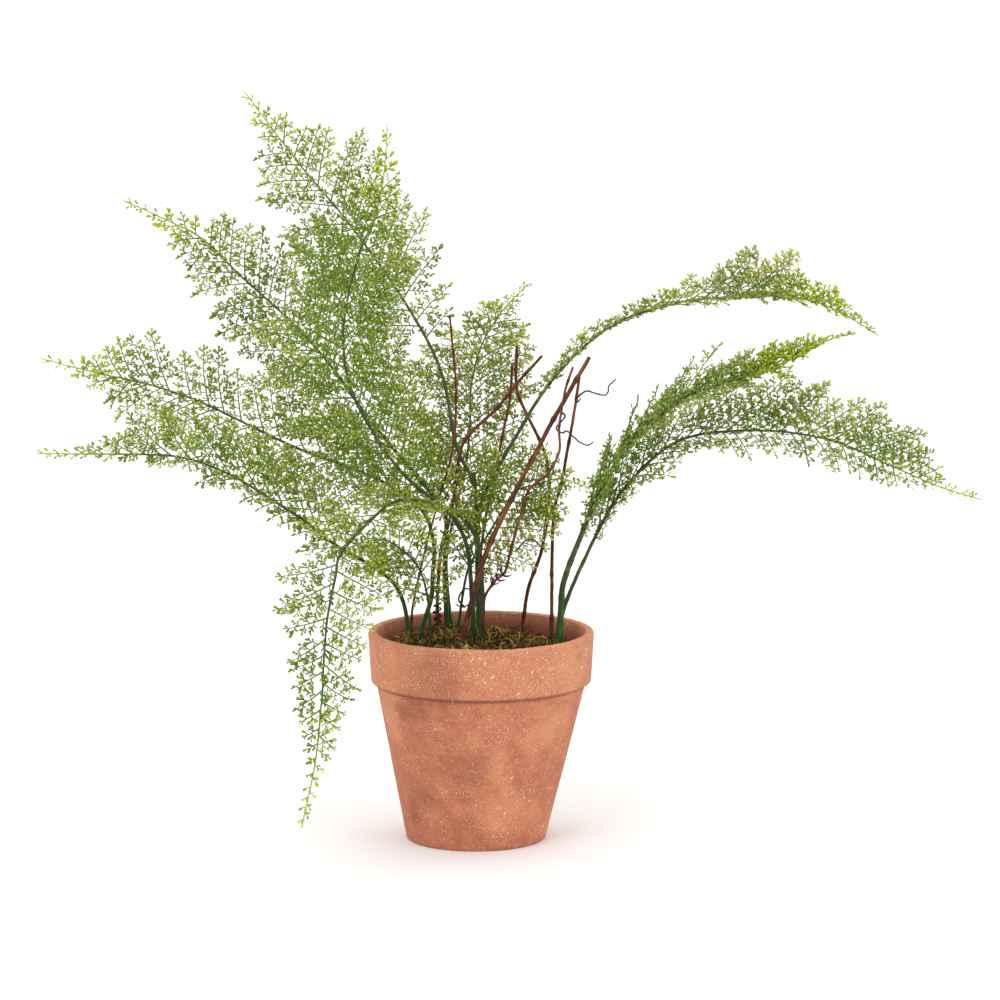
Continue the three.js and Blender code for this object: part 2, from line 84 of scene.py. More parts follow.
# ---- Routes in mm, as (x, y) from the pot's axis and the height above the moss, foot to tip ----
TRUNK = [(-1, 30, 0), (-2, 31, 38), (-3, 33, 82), (-3, 34, 94)]
STUB = [(-3, 33, 78), (-4, 30, 96), (-5, 28, 117)]
FROND_ROUTES = {
    "back_left": [(-2, 31, 38), (-3, 34, 83), (-6, 42, 109), (-17, 55, 131), (-28, 72, 181),
                  (-52, 94, 224), (-91, 120, 276), (-126, 138, 316), (-165, 150, 366)],
    "right_high": [(-2, 31, 38), (-2, 34, 81), (1, 35, 97), (7, 36, 111), (22, 39, 137), (43, 44, 171),
                   (67, 50, 197), (94, 57, 216), (135, 66, 228), (176, 75, 231), (211, 83, 230),
                   (239, 89, 222), (273, 96, 202)],
    "right_middle": [(52, 14, 0), (54, 13, 30), (56, 11, 46), (66, 7, 74), (80, -2, 109), (96, -12, 138),
                     (115, -25, 160), (138, -40, 179), (170, -58, 192), (201, -74, 206), (226, -86, 221),
                     (243, -93, 226)],
    "right_low": [(52, 14, 0), (54, 14, 18), (58, 15, 32), (69, 16, 58), (88, 14, 96), (107, 10, 121),
                  (127, 4, 139), (146, -3, 147), (172, -12, 151), (205, -21, 151), (238, -29, 145),
                  (271, -36, 131), (303, -42, 118), (330, -46, 110)],
    "left_high": [(-23, 46, 0), (-25, 46, 45), (-24, 47, 81), (-31, 49, 95), (-76, 62, 148),
                  (-103, 72, 184), (-131, 81, 214), (-162, 90, 241), (-191, 97, 268), (-214, 101, 280),
                  (-246, 105, 294)],
    "upright": [(-5, 20, 0), (-7, 19, 45), (-10, 17, 69), (-18, 14, 87), (-30, 10, 99), (-54, 2, 122),
                (-77, -8, 158), (-88, -16, 186), (-91, -24, 213), (-88, -30, 240), (-79, -36, 274),
                (-69, -38, 297), (-63, -38, 327), (-61, -35, 356)],
    "left_middle": [(-42, 28, 0), (-34, 28, 30), (-33, 28, 48), (-32, 29, 67), (-39, 31, 89),
                    (-58, 33, 105), (-89, 36, 119), (-123, 39, 131), (-157, 42, 147), (-191, 44, 163),
                    (-224, 46, 174), (-264, 47, 183), (-298, 47, 192)],
    "left_low": [(-48, 20, 0), (-53, 16, 31), (-65, 9, 50), (-98, -5, 73), (-117, -15, 90),
                 (-134, -23, 103), (-159, -35, 121), (-185, -47, 135), (-211, -55, 141),
                 (-249, -66, 143), (-289, -75, 145)],
    "drooping": [(1, 12, 0), (1, 13, 39), (-1, 13, 64), (-7, 10, 82), (-21, 0, 96), (-46, -24, 106),
                 (-56, -36, 107), (-68, -56, 102), (-90, -92, 83), (-94, -105, 68), (-99, -124, 43),
                 (-101, -136, 14), (-102, -142, -6), (-106, -148, -44), (-115, -150, -88)],
    "back_centre": [(-20, 56, 0), (-24, 61, 50), (-17, 68, 88), (-11, 75, 112), (-8, 84, 141),
                    (-7, 96, 167), (0, 112, 193), (15, 128, 216), (33, 140, 233)],
    "centre_short": [(-16, 36, 0), (-11, 30, 42), (-5, 26, 59), (5, 23, 76), (15, 19, 93), (25, 13, 107),
                     (39, 3, 113), (53, -8, 118), (72, -22, 114)],
    "inner_short": [(-33, 8, 0), (-36, 1, 36), (-42, -8, 58), (-54, -20, 73), (-68, -33, 81),
                    (-86, -45, 78)],
}
# These start from the trunk of the central stem, and the others in the fill.
FORKED = ("back_left", "right_high")
# The share of a stem's length where its width outline ends, and the share of its leafy part that
# carries pinnae: the very tip is bare.
BLADE_END, LEAFY_END = 0.99, 0.985
STEM_TIP_RADIUS = 0.4
# How the half width runs along the leafy part, as shares of its length and of the full half width:
# tapering, blunt, late to open, or a long low arch.
TAPERING = ((0, 0.55), (0.1, 0.92), (0.25, 1), (0.5, 0.88), (0.65, 0.66), (0.75, 0.44), (0.84, 0.25),
            (0.92, 0.12), (1, 0.04))
BLUNT = ((0, 0.55), (0.1, 0.92), (0.25, 1), (0.66, 0.93), (0.76, 0.7), (0.85, 0.38), (0.93, 0.14),
         (1, 0.04))
LATE = ((0, 0.3), (0.3, 0.3), (0.42, 0.42), (0.5, 0.85), (0.55, 1), (0.62, 1), (0.69, 0.6), (0.76, 0.44),
        (0.86, 0.36), (0.94, 0.16), (1, 0.04))
LOW_ARCH = ((0, 0.5), (0.1, 0.8), (0.3, 0.95), (0.45, 1), (0.7, 0.97), (0.79, 0.74), (0.87, 0.38),
            (0.93, 0.15), (1, 0.04))

# Each frond: its stem's radius at the foot and half its leafy width in mm, where along the stem the
# leaves start, the way that they face at their start and at the tip, how far the two sides fold up and
# what angle the pinnae make with the midrib at their start and at the tip, all in degrees. Then, where
# they aren't as usual, how close together the pinnae stand, how the width runs, the shares of it on the
# right and left of the midrib and where the young lime tip starts. Last, how pale the leaves are, partly
# washed-out paint and partly painted highlight, and how yellow, or bluish if that is below 0.
USUAL = dict(outline=TAPERING, gap=1, sides=(1, 1), lime=0.75)
FRONDS = {
    "back_left": dict(radius=1.7, half=44, start=0.45, faces=((0.1, -1, 0.1), (0, -0.8, 0.5)), fold=8,
                      angles=(58, 42), lime=0.72, gap=0.94, wash=0.35, warmth=0.1),
    "right_high": dict(radius=1.7, half=35, start=0.33, faces=((-0.5, 0, 0.9), (0, -0.6, 0.8)), fold=24,
                       angles=(26, 44), outline=LATE, gap=0.6, sides=(0.65, 1), lime=0.64, wash=0.55,
                       warmth=0),
    "right_middle": dict(radius=2.6, half=23, start=0.3, faces=((-0.5, -0.2, 0.8), (0, -0.3, 1)),
                         fold=16, angles=(33, 34), gap=0.46, outline=BLUNT, sides=(0.75, 1), lime=0.6,
                         wash=0.45, warmth=-0.22),
    "right_low": dict(radius=1.6, half=32, start=0.26, faces=((-0.6, -0.5, 0.6), (0.1, -0.8, 0.6)),
                      fold=10, angles=(30, 52), gap=0.62, outline=LOW_ARCH, sides=(0.55, 1), lime=0.8,
                      wash=0.5, warmth=-0.12),
    "left_high": dict(radius=2.0, half=45, start=0.28, faces=((0.2, -1, 0.2), (0.1, -0.9, 0.4)), fold=8,
                      angles=(54, 42), lime=0.72, gap=0.9, wash=0.15, warmth=0.05),
    "upright": dict(radius=1.9, half=46, start=0.34, faces=((-0.3, -1, 0), (0.2, -1, 0)), fold=6,
                    angles=(52, 40), gap=0.9, wash=0.1, warmth=-0.12),
    "left_middle": dict(radius=1.9, half=36, start=0.3, faces=((0.2, -0.9, 0.4), (0.1, -0.7, 0.7)),
                        fold=8, angles=(50, 46), outline=BLUNT, sides=(1, 0.85), lime=0.72, gap=0.95,
                        wash=0.35, warmth=0.2),
    "left_low": dict(radius=1.7, half=32, start=0.26, faces=((0.2, -0.8, 0.5), (0, -0.7, 0.7)), fold=10,
                     angles=(36, 36), gap=0.72, sides=(1, 0.4), lime=0.84, wash=0.05, warmth=-0.05),
    "drooping": dict(radius=1.8, half=40, start=0.27, faces=((0, 0, 1), (-0.3, -1, 0)), fold=6,
                     angles=(64, 52), sides=(0.9, 1), lime=0.8, gap=0.9, wash=0.1, warmth=0.15),
    "back_centre": dict(radius=1.4, half=38, start=0.36, faces=((0, -1, 0), (-0.3, -0.8, 0.5)), fold=8,
                        angles=(50, 40), gap=0.62, lime=0.95, wash=0.6, warmth=0.1),
    "centre_short": dict(radius=1.2, half=35, start=0.38, faces=((-0.2, -1, 0.2), (0, -0.9, 0.4)),
                         fold=6, angles=(60, 50), gap=0.52, lime=0.95, wash=0.35, warmth=0.0),
    "inner_short": dict(radius=1.2, half=28, start=0.4, faces=((0, -1, 0.3), (-0.2, -0.9, 0.4)), fold=6,
                        angles=(56, 48), gap=0.66, lime=0.95, wash=0.2, warmth=0.1),
}

# Each twig: its radii at the foot and at the end in mm, and its route.
TWIGS = {
    "twig_coiled": ((1.4, 1), [(-29.5, 36, 0), (-29.5, 37, 35), (-27, 38, 64), (-20, 40, 89),
                                 (-15, 42, 124), (-11, 43, 137), (-2, 42, 147), (11, 41, 159),
                                 (22, 40, 173), (33, 39, 186), (41, 38, 195)]),
    "twig_thick": ((2.1, 1.4), [(-14, 1, 0), (0, 0, 56), (10, -2, 82), (23.5, -4, 110), (40, -6, 142),
                                (50, -8, 161), (72, -10, 200)]),
    "twig_hooked": ((1, 0.8), [(2, -1, 0), (2, -1, 33), (9, -2, 47), (16, -3, 54), (20, -6, 70),
                                 (26, -11, 92), (32, -13, 111), (44, -15, 122), (52, -17, 138),
                                 (52, -19, 155), (56, -20, 179), (61, -21, 195)]),
    "twig_back_right": ((1.4, 1), [(27, 50, 0), (32, 49, 33), (42, 48, 64), (46, 48, 105), (42, 50, 130),
                                   (31, 51, 153), (24, 52, 171), (24, 53, 200)]),
    "twig_straight": ((1.4, 1), [(47, 35, 0), (48, 34, 47), (49, 32, 87), (54, 30, 108), (59, 27, 137),
                                 (63, 24, 160), (66, 22, 183)]),
    "twig_slender": ((0.9, 0.7), [(-47, 38, 0), (-46, 38, 27), (-33, 36, 82), (-22, 36, 120),
                                  (-18, 36, 140), (-17, 37, 160), (-17, 37, 176), (-19, 38, 198),
                                  (-21, 38, 222)]),
    "twig_back": ((1.2, 0.9), [(-7, 55, 0), (-5, 54, 20), (2, 52, 77), (7.5, 50, 101), (11, 49, 120),
                               (15, 48, 143), (19, 48, 160), (21, 47, 189)]),
}
TENDRILS = {
    "tendril_upper": [(64, -13, 173), (67, -15, 176), (71, -16, 178), (77, -18, 176.5), (82, -19, 175.5),
                      (84.5, -18, 178), (85, -18, 182), (90, -17, 186)],
    "tendril_middle": [(52, -10, 164), (56, -12, 161), (53, -15, 157), (50, -16, 153), (54, -16, 150),
                       (57, -20, 152), (61, -23, 149), (66, -24, 145), (71, -23, 143), (75, -23, 145)],
    "tendril_loop": [(-11, -3, 30), (-15, -6, 36), (-12, -8, 43), (-7, -7, 42), (-6, -5, 35),
                     (-11, -7, 31), (-17, -9, 33)],
    "tendril_low": [(24, -9, 70), (29, -10, 76), (35, -11, 77), (40, -12, 73)],
}
# The tendril wound round the coiled twig: where it starts above the moss, its turns, how far they are
# apart and how far its middle stands off the bark, in mm.
COIL_START, COIL_TURNS, COIL_PITCH, COIL_GAP = 8.0, 4, 4.5, 1.15
COIL_STEPS = 24


def linear(code):
    """A colour written as sRGB hex, as the linear numbers that shaders take."""
    parts = [int(code[i:i + 2], 16) / 255 for i in (1, 3, 5)]
    return tuple(p / 12.92 if p <= 0.04045 else ((p + 0.055) / 1.055) ** 2.4 for p in parts)


def size(name, description, default, unit="LENGTH"):
    return FloatProperty(name=name, description=description, default=default, min=0, unit=unit,
                         precision=5)


def colour(name, description, code):
    return FloatVectorProperty(name=name, description=description, default=linear(code), subtype="COLOR",
                               min=0, max=1)


class FernPotSettings(PropertyGroup):
    """The pot's sizes and colours"""
    height: size("Height", "Pot's full height", POT_HIGH.z - POT_LOW.z)
    rim_radius: size("Rim Radius", "Radius at the top of the rim band", (POT_HIGH.x - POT_LOW.x) / 2)
    band_height: size("Band Height", "Height of the rim band", 34.5 * MM)
    wall: size("Wall", "Thickness of the wall", 6 * MM)
    clay: colour("Clay", "Fired clay where it is clean", "#b0644a")
    clay_light: colour("Light Clay", "Dusty, paler patches", "#d18b63")
    # Dark Clay also paints the shade inside the pot's mouth.
    clay_dark: colour("Dark Clay", "Handled and damp patches", "#874a37")
    # A painted shadow line in the corner under the band.
    clay_band_shadow: colour("Band Shadow", "Painted shadow in the corner under the band", "#7a4034")
    clay_dust: colour("Clay Dust", "Fine pale grains in the clay's skin", "#e6b390")
    lime: colour("Lime Fleck", "Dried lime spatter", "#f4dcc0")


class FernLeafSettings(PropertyGroup):
    """Sizes, spacings and colours of the leaves"""
    leaflet: size("Leaflet Length", "Length of one leaflet", 3.5 * MM)
    leaflet_gap: size("Leaflet Gap", "Distance between leaflets along a pinnule", 1.9 * MM)
    pinnule: size("Pinnule Length", "Longest pinnule", 13 * MM)
    pinnule_gap: size("Pinnule Gap", "Distance between pinnules along a pinna, both sides counted",
                      3.4 * MM)
    pinna_gap: size("Pinna Gap", "Distance between pinnae along a frond, both sides counted", 6.8 * MM)
    stalk: size("Stalk Radius", "Radius of the thin stalks at their foot", 0.6 * MM)
    seed: IntProperty(name="Seed", description="Seed of the leaves' irregularity", default=11)
    green: colour("Green", "Main leaf green", "#90a425")
    deep: colour("Deep Green", "Darker leaflets", "#5f7d1b")
    # Pale leaflets are partly washed-out paint and partly painted highlights.
    pale: colour("Pale Green", "Washed-out leaflets", "#d0ce70")
    tip: colour("Tip Green", "Young leaflets at the tips", "#bac80e")
    cool: colour("Cool Green", "Bluish leaflets", "#83a94c")
    rust: colour("Rust", "Leaflets tinged with brown", "#857a30")
    stalks: colour("Stalk", "Thin stalks", "#657f1e")


class FernWoodSettings(PropertyGroup):
    """Colours of stems, twigs, tendrils and moss"""
    stem: colour("Stem", "Midribs", "#3e4c1f")
    stem_foot: colour("Stem Foot", "Stems near the pot", "#1f6a33")
    stem_dark: colour("Stem Streaks", "Dark streaks along the stems", "#1f2712")
    # Painted highlights on the stems.
    stem_worn: colour("Worn Stem", "Pale patches where the stems are rubbed", "#a2b37c")
    bark: colour("Bark", "Twigs", "#744021")
    bark_dark: colour("Dark Bark", "Furrows and knots", "#35190d")
    # Painted highlights on the bark.
    bark_pale: colour("Pale Bark", "Worn bark", "#a8663c")
    tendril: colour("Tendril", "Dry tendrils", "#31262b")
    soil: colour("Soil", "Dark ground under the moss", "#150d07")
    coir: colour("Coir", "Fibres in the fill", "#796145")
    moss: colour("Moss", "Olive moss strands", "#8d742b")
    moss_pale: colour("Pale Moss", "Sunlit tips of the moss", "#d0b257")
    moss_dry: colour("Dry Moss", "Browned moss strands", "#402a13")


class FernStageSettings(PropertyGroup):
    """Floor, lights and camera"""
    floor: colour("Floor", "Floor and backdrop", "#f7f7f6")
    fibre: colour("Paper Fibre", "Faint clouding of the paper", "#f4f4f2")
    distance: size("Camera Distance", "From the camera to the middle of the view", 3.1)
    pitch: size("Camera Pitch", "Angle that the camera looks down at", math.radians(8.9), "ROTATION")
    target_height: size("Target Height", "Height of the middle of the view", 230.4 * MM)
    target_right: size("Target Right", "How far the view's middle is to the right of the pot's axis",
                       12.7 * MM)
    lens: FloatProperty(name="Lens", description="Focal length on a 36 mm sensor, in mm", default=166.6)


# ---- Small tools ----
# Short names for nodes, each with the settings that go with it. Math and vector math nodes go by
# their operation.
NODES = {
    **{word: ("ShaderNodeMath", {"operation": word.upper()}) for word in
       ("add", "subtract", "multiply", "divide", "power", "modulo", "maximum", "absolute", "round",
        "floor", "fract", "sine", "cosine", "less_than", "greater_than")},
    **{"vector_" + word: ("ShaderNodeVectorMath", {"operation": word.upper()}) for word in
       ("add", "subtract", "multiply", "scale", "distance", "length", "normalize", "dot_product",
        "cross_product")},
    "range": ("ShaderNodeMapRange", {}),
    "smooth_range": ("ShaderNodeMapRange", {"interpolation_type": "SMOOTHSTEP"}),
    "clamp": ("ShaderNodeClamp", {}),
    "mix": ("ShaderNodeMix", {"data_type": "FLOAT"}),
    "blend": ("ShaderNodeMix", {"data_type": "RGBA"}),
    "noise": ("ShaderNodeTexNoise", {}),
    "cells": ("ShaderNodeTexVoronoi", {}),
    "mapping": ("ShaderNodeMapping", {}),
    "coordinates": ("ShaderNodeTexCoord", {}),
    "attribute": ("ShaderNodeAttribute", {}),
    "bump": ("ShaderNodeBump", {}),
    "split": ("ShaderNodeSeparateXYZ", {}),
    "combine": ("ShaderNodeCombineXYZ", {}),
    "split_colour": ("ShaderNodeSeparateColor", {}),
    "random": ("FunctionNodeRandomValue", {"data_type": "FLOAT"}),
    "random_whole": ("FunctionNodeRandomValue", {"data_type": "INT"}),
    "random_vector": ("FunctionNodeRandomValue", {"data_type": "FLOAT_VECTOR"}),
    "compare": ("FunctionNodeCompare", {"data_type": "FLOAT"}),
    "euler": ("FunctionNodeEulerToRotation", {}),
    "axes": ("FunctionNodeAxesToRotation", {}),
    "turn_own": ("FunctionNodeRotateRotation", {"rotation_space": "LOCAL"}),
    "turn_whole": ("FunctionNodeRotateRotation", {"rotation_space": "GLOBAL"}),
    "read": ("GeometryNodeInputNamedAttribute", {"data_type": "FLOAT"}),
    "read_vector": ("GeometryNodeInputNamedAttribute", {"data_type": "FLOAT_VECTOR"}),
    "store": ("GeometryNodeStoreNamedAttribute", {"data_type": "FLOAT", "domain": "POINT"}),
    "store_vector": ("GeometryNodeStoreNamedAttribute", {"data_type": "FLOAT_VECTOR", "domain": "POINT"}),
    "store_each": ("GeometryNodeStoreNamedAttribute", {"data_type": "FLOAT", "domain": "INSTANCE"}),
    "store_map": ("GeometryNodeStoreNamedAttribute", {"data_type": "FLOAT2", "domain": "CORNER"}),
    "forget": ("GeometryNodeRemoveAttribute", {}),
    "index": ("GeometryNodeInputIndex", {}),
    "position": ("GeometryNodeInputPosition", {}),
    "normal": ("GeometryNodeInputNormal", {}),
    "spline": ("GeometryNodeSplineParameter", {}),
    "line": ("GeometryNodeCurvePrimitiveLine", {"mode": "POINTS"}),
    "circle": ("GeometryNodeCurvePrimitiveCircle", {}),
    "resample": ("GeometryNodeResampleCurve", {}),
    "place": ("GeometryNodeSetPosition", {}),
    "to_curve": ("GeometryNodeMeshToCurve", {}),
    "sweep": ("GeometryNodeCurveToMesh", {}),
    "points": ("GeometryNodePoints", {}),
    "collection": ("GeometryNodeCollectionInfo", {}),
    "instances": ("GeometryNodeInstanceOnPoints", {}),
    "realize": ("GeometryNodeRealizeInstances", {}),
}


def add_node(tree, kind, *values, out=0, **settings):
    """Adds a node and returns one of its outputs, or the node itself if out is None. Its kind is a
    short name or Blender's own. Values fill its open sockets in order, and settings are its
    properties or, with _ for spaces, its sockets."""
    kind, preset = NODES.get(kind, (kind, {}))
    node = tree.nodes.new(kind)
    named = {}
    for key, value in {**preset, **settings}.items():
        if key in node.bl_rna.properties:
            setattr(node, key, value)
        else:
            named[key.replace("_", " ")] = value
    open_sockets = [s for s in node.inputs if s.enabled]
    by_name = {s.name: s for s in reversed(open_sockets)}
    pairs = list(zip(open_sockets, values)) + [(by_name[key], value) for key, value in named.items()]
    for socket, value in pairs:
        if isinstance(value, bpy.types.NodeSocket):
            tree.links.new(value, socket)
        elif value is not None:
            socket.default_value = (*value, 1.0) if socket.type == "RGBA" else value
    return node if out is None else [s for s in node.outputs if s.enabled][out]


def new_tree(name, **inputs):
    """A Geometry Nodes tree with a geometry in and out and named inputs: the tree, its inputs' sockets
    and the function that adds a node to it."""
    tree = bpy.data.node_groups.new(name, "GeometryNodeTree")
    tree.interface.new_socket("Geometry", in_out="OUTPUT", socket_type="NodeSocketGeometry")
    tree.interface.new_socket("Geometry", in_out="INPUT", socket_type="NodeSocketGeometry")
    for key, kind in inputs.items():
        tree.interface.new_socket(key.replace("_", " "), in_out="INPUT", socket_type="NodeSocket" + kind)
    return tree, tree.nodes.new("NodeGroupInput").outputs, partial(add_node, tree)


def joined(tree, *parts):
    """Several geometries as one."""
    both = add_node(tree, "GeometryNodeJoinGeometry")
    for part in parts:
        tree.links.new(part, both.node.inputs[0])
    return both


def end_tree(tree, geometry, material):
    """Ends a tree: its instances are made real, and everything gets its material."""
    real = add_node(tree, "realize", geometry)
    painted = add_node(tree, "GeometryNodeSetMaterial", real, Material=material)
    add_node(tree, "NodeGroupOutput", painted, out=None)
    return tree


def grown(name, tree, base, **inputs):
    """Runs a tree on an object and leaves it as a plain mesh of the given name."""
    modifier = base.modifiers.new(tree.name, "NODES")
    modifier.node_group = tree
    for item in tree.interface.items_tree:
        key = item.name.replace(" ", "_")
        if item.item_type == "SOCKET" and item.in_out == "INPUT" and key in inputs:
            is_float = item.socket_type == "NodeSocketFloat"
            modifier[item.identifier] = float(inputs[key]) if is_float else inputs[key]
    bpy.context.scene.collection.objects.link(base)
    shown = base.evaluated_get(bpy.context.evaluated_depsgraph_get())
    mesh = bpy.data.meshes.new_from_object(shown)
    base.modifiers.remove(modifier)
    old, base.data = base.data, mesh
    bpy.data.meshes.remove(old)
    base.name = mesh.name = name
    if not mesh.polygons:
        raise RuntimeError(f"{name} came out empty")
    return base


def mesh_object(name, points, edges=(), faces=(), **attributes):
    """An object of a new mesh with point attributes, in no collection yet."""
    mesh = bpy.data.meshes.new(name)
    mesh.from_pydata([tuple(p) for p in points], edges, faces)
    for key, values in attributes.items():
        values = np.asarray(values, np.float32)
        vector = values.ndim == 2
        attribute = mesh.attributes.new(key, "FLOAT_VECTOR" if vector else "FLOAT", "POINT")
        attribute.data.foreach_set("vector" if vector else "value", values.ravel())
    return bpy.data.objects.new(name, mesh)


def smooth_curve(points, step_length=2 * MM):
    """Points spaced evenly along the smooth curve through a route."""
    p = np.asarray(points, float)
    p = np.vstack([2 * p[0] - p[1], p, 2 * p[-1] - p[-2]])
    t = np.linspace(0, 1, 32, endpoint=False)[:, None]
    dense = []
    for i in range(1, len(p) - 2):
        out, into = (p[i + 1] - p[i - 1]) / 2, (p[i + 2] - p[i]) / 2
        dense.append((2 * t**3 - 3 * t**2 + 1) * p[i] + (t**3 - 2 * t**2 + t) * out
                     + (3 * t**2 - 2 * t**3) * p[i + 1] + (t**3 - t**2) * into)
    dense = np.vstack([*dense, p[-2]])
    along = np.concatenate([[0], np.cumsum(np.linalg.norm(np.diff(dense, axis=0), axis=1))])
    steps = max(4, round(along[-1] / step_length))
    even = np.linspace(0, along[-1], steps + 1)
    return np.column_stack([np.interp(even, along, dense[:, k]) for k in range(3)])


def placed(route):
    """A route's points in the frame, in metres."""
    foot = np.array([POT_AXIS.x, POT_AXIS.y, MOSS_LEVEL])
    return np.asarray(route, float) * MM + foot


# How deep stems go into the fill, and how much nearer the pot's axis they stand down there.
PLANTING_DEPTH = 30 * MM
FOOT_LEAN = 0.857


def planted(route):
    """A route that starts in the fill, where it leans in with the pot's wall."""
    points = placed(route)
    axis = np.array([POT_AXIS.x, POT_AXIS.y, 0])
    foot = axis + (points[0] - axis) * (FOOT_LEAN, FOOT_LEAN, 1) - (0, 0, PLANTING_DEPTH)
    return np.vstack([foot, points])


# Below 1, a stem loses more of its thickness near its foot.
TAPER_POWER = 0.8


def tapered(count, start, end):
    """The radius of each of a curve's points, in metres, from its first and last radius in mm."""
    share = np.linspace(0, 1, count) ** TAPER_POWER
    return (start + (end - start) * share) * MM


def rails(name, curves, cut=0):
    """One object with a chain of edges for each curve, given as points and radii. Curves after the
    first are dark, and the last few may be cut, with no young tip."""
    points = np.vstack([curve for curve, _ in curves])
    whole = len(curves) - cut
    edges, dark, young, first = [], [], [], 0
    for i, (curve, _) in enumerate(curves):
        edges += [(first + k, first + k + 1) for k in range(len(curve) - 1)]
        first += len(curve)
        dark += [float(i > 0)] * len(curve)
        young += [float(i < whole)] * len(curve)
    return mesh_object(name, points, edges, radius=np.concatenate([radii for _, radii in curves]),
                       dark=dark, young=young)


def finish_piece(piece, slot, *nodes):
    """Hands a finished piece over to the frame: its body and what it stands for. Its slot is not used."""
    piece.data.update()
    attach(piece, "root")
    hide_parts(*nodes)


def principled(name, **settings):
    """A material with one shader: the material, the function that adds a node to it, and the shader."""
    material = bpy.data.materials.get(name) or bpy.data.materials.new(name)
    material.use_nodes = True
    tree = material.node_tree
    tree.nodes.clear()
    shader = add_node(tree, "ShaderNodeBsdfPrincipled", out=None, **settings)
    add_node(tree, "ShaderNodeOutputMaterial", shader.outputs[0], out=None)
    return material, partial(add_node, tree), shader


def dress(shader, **sockets):
    """Links values to a shader's sockets, named with _ for spaces."""
    for key, value in sockets.items():
        shader.id_data.links.new(value, shader.inputs[key.replace("_", " ")])


# ---- Materials ----
HANDLED = ((-26, -70, 120, 30), (-46, -52, 99, 24), (-38, -38, 30, 26), (-12, -58, 58, 26),
           (20, 66, 110, 34), (60, 10, 60, 26))
DUSTY = ((60, -45, 128, 30), (50, -46, 84, 30), (-62, -30, 84, 20), (14, -52, 28, 26), (-60, -44, 132, 16),
         (-30, 60, 60, 34))


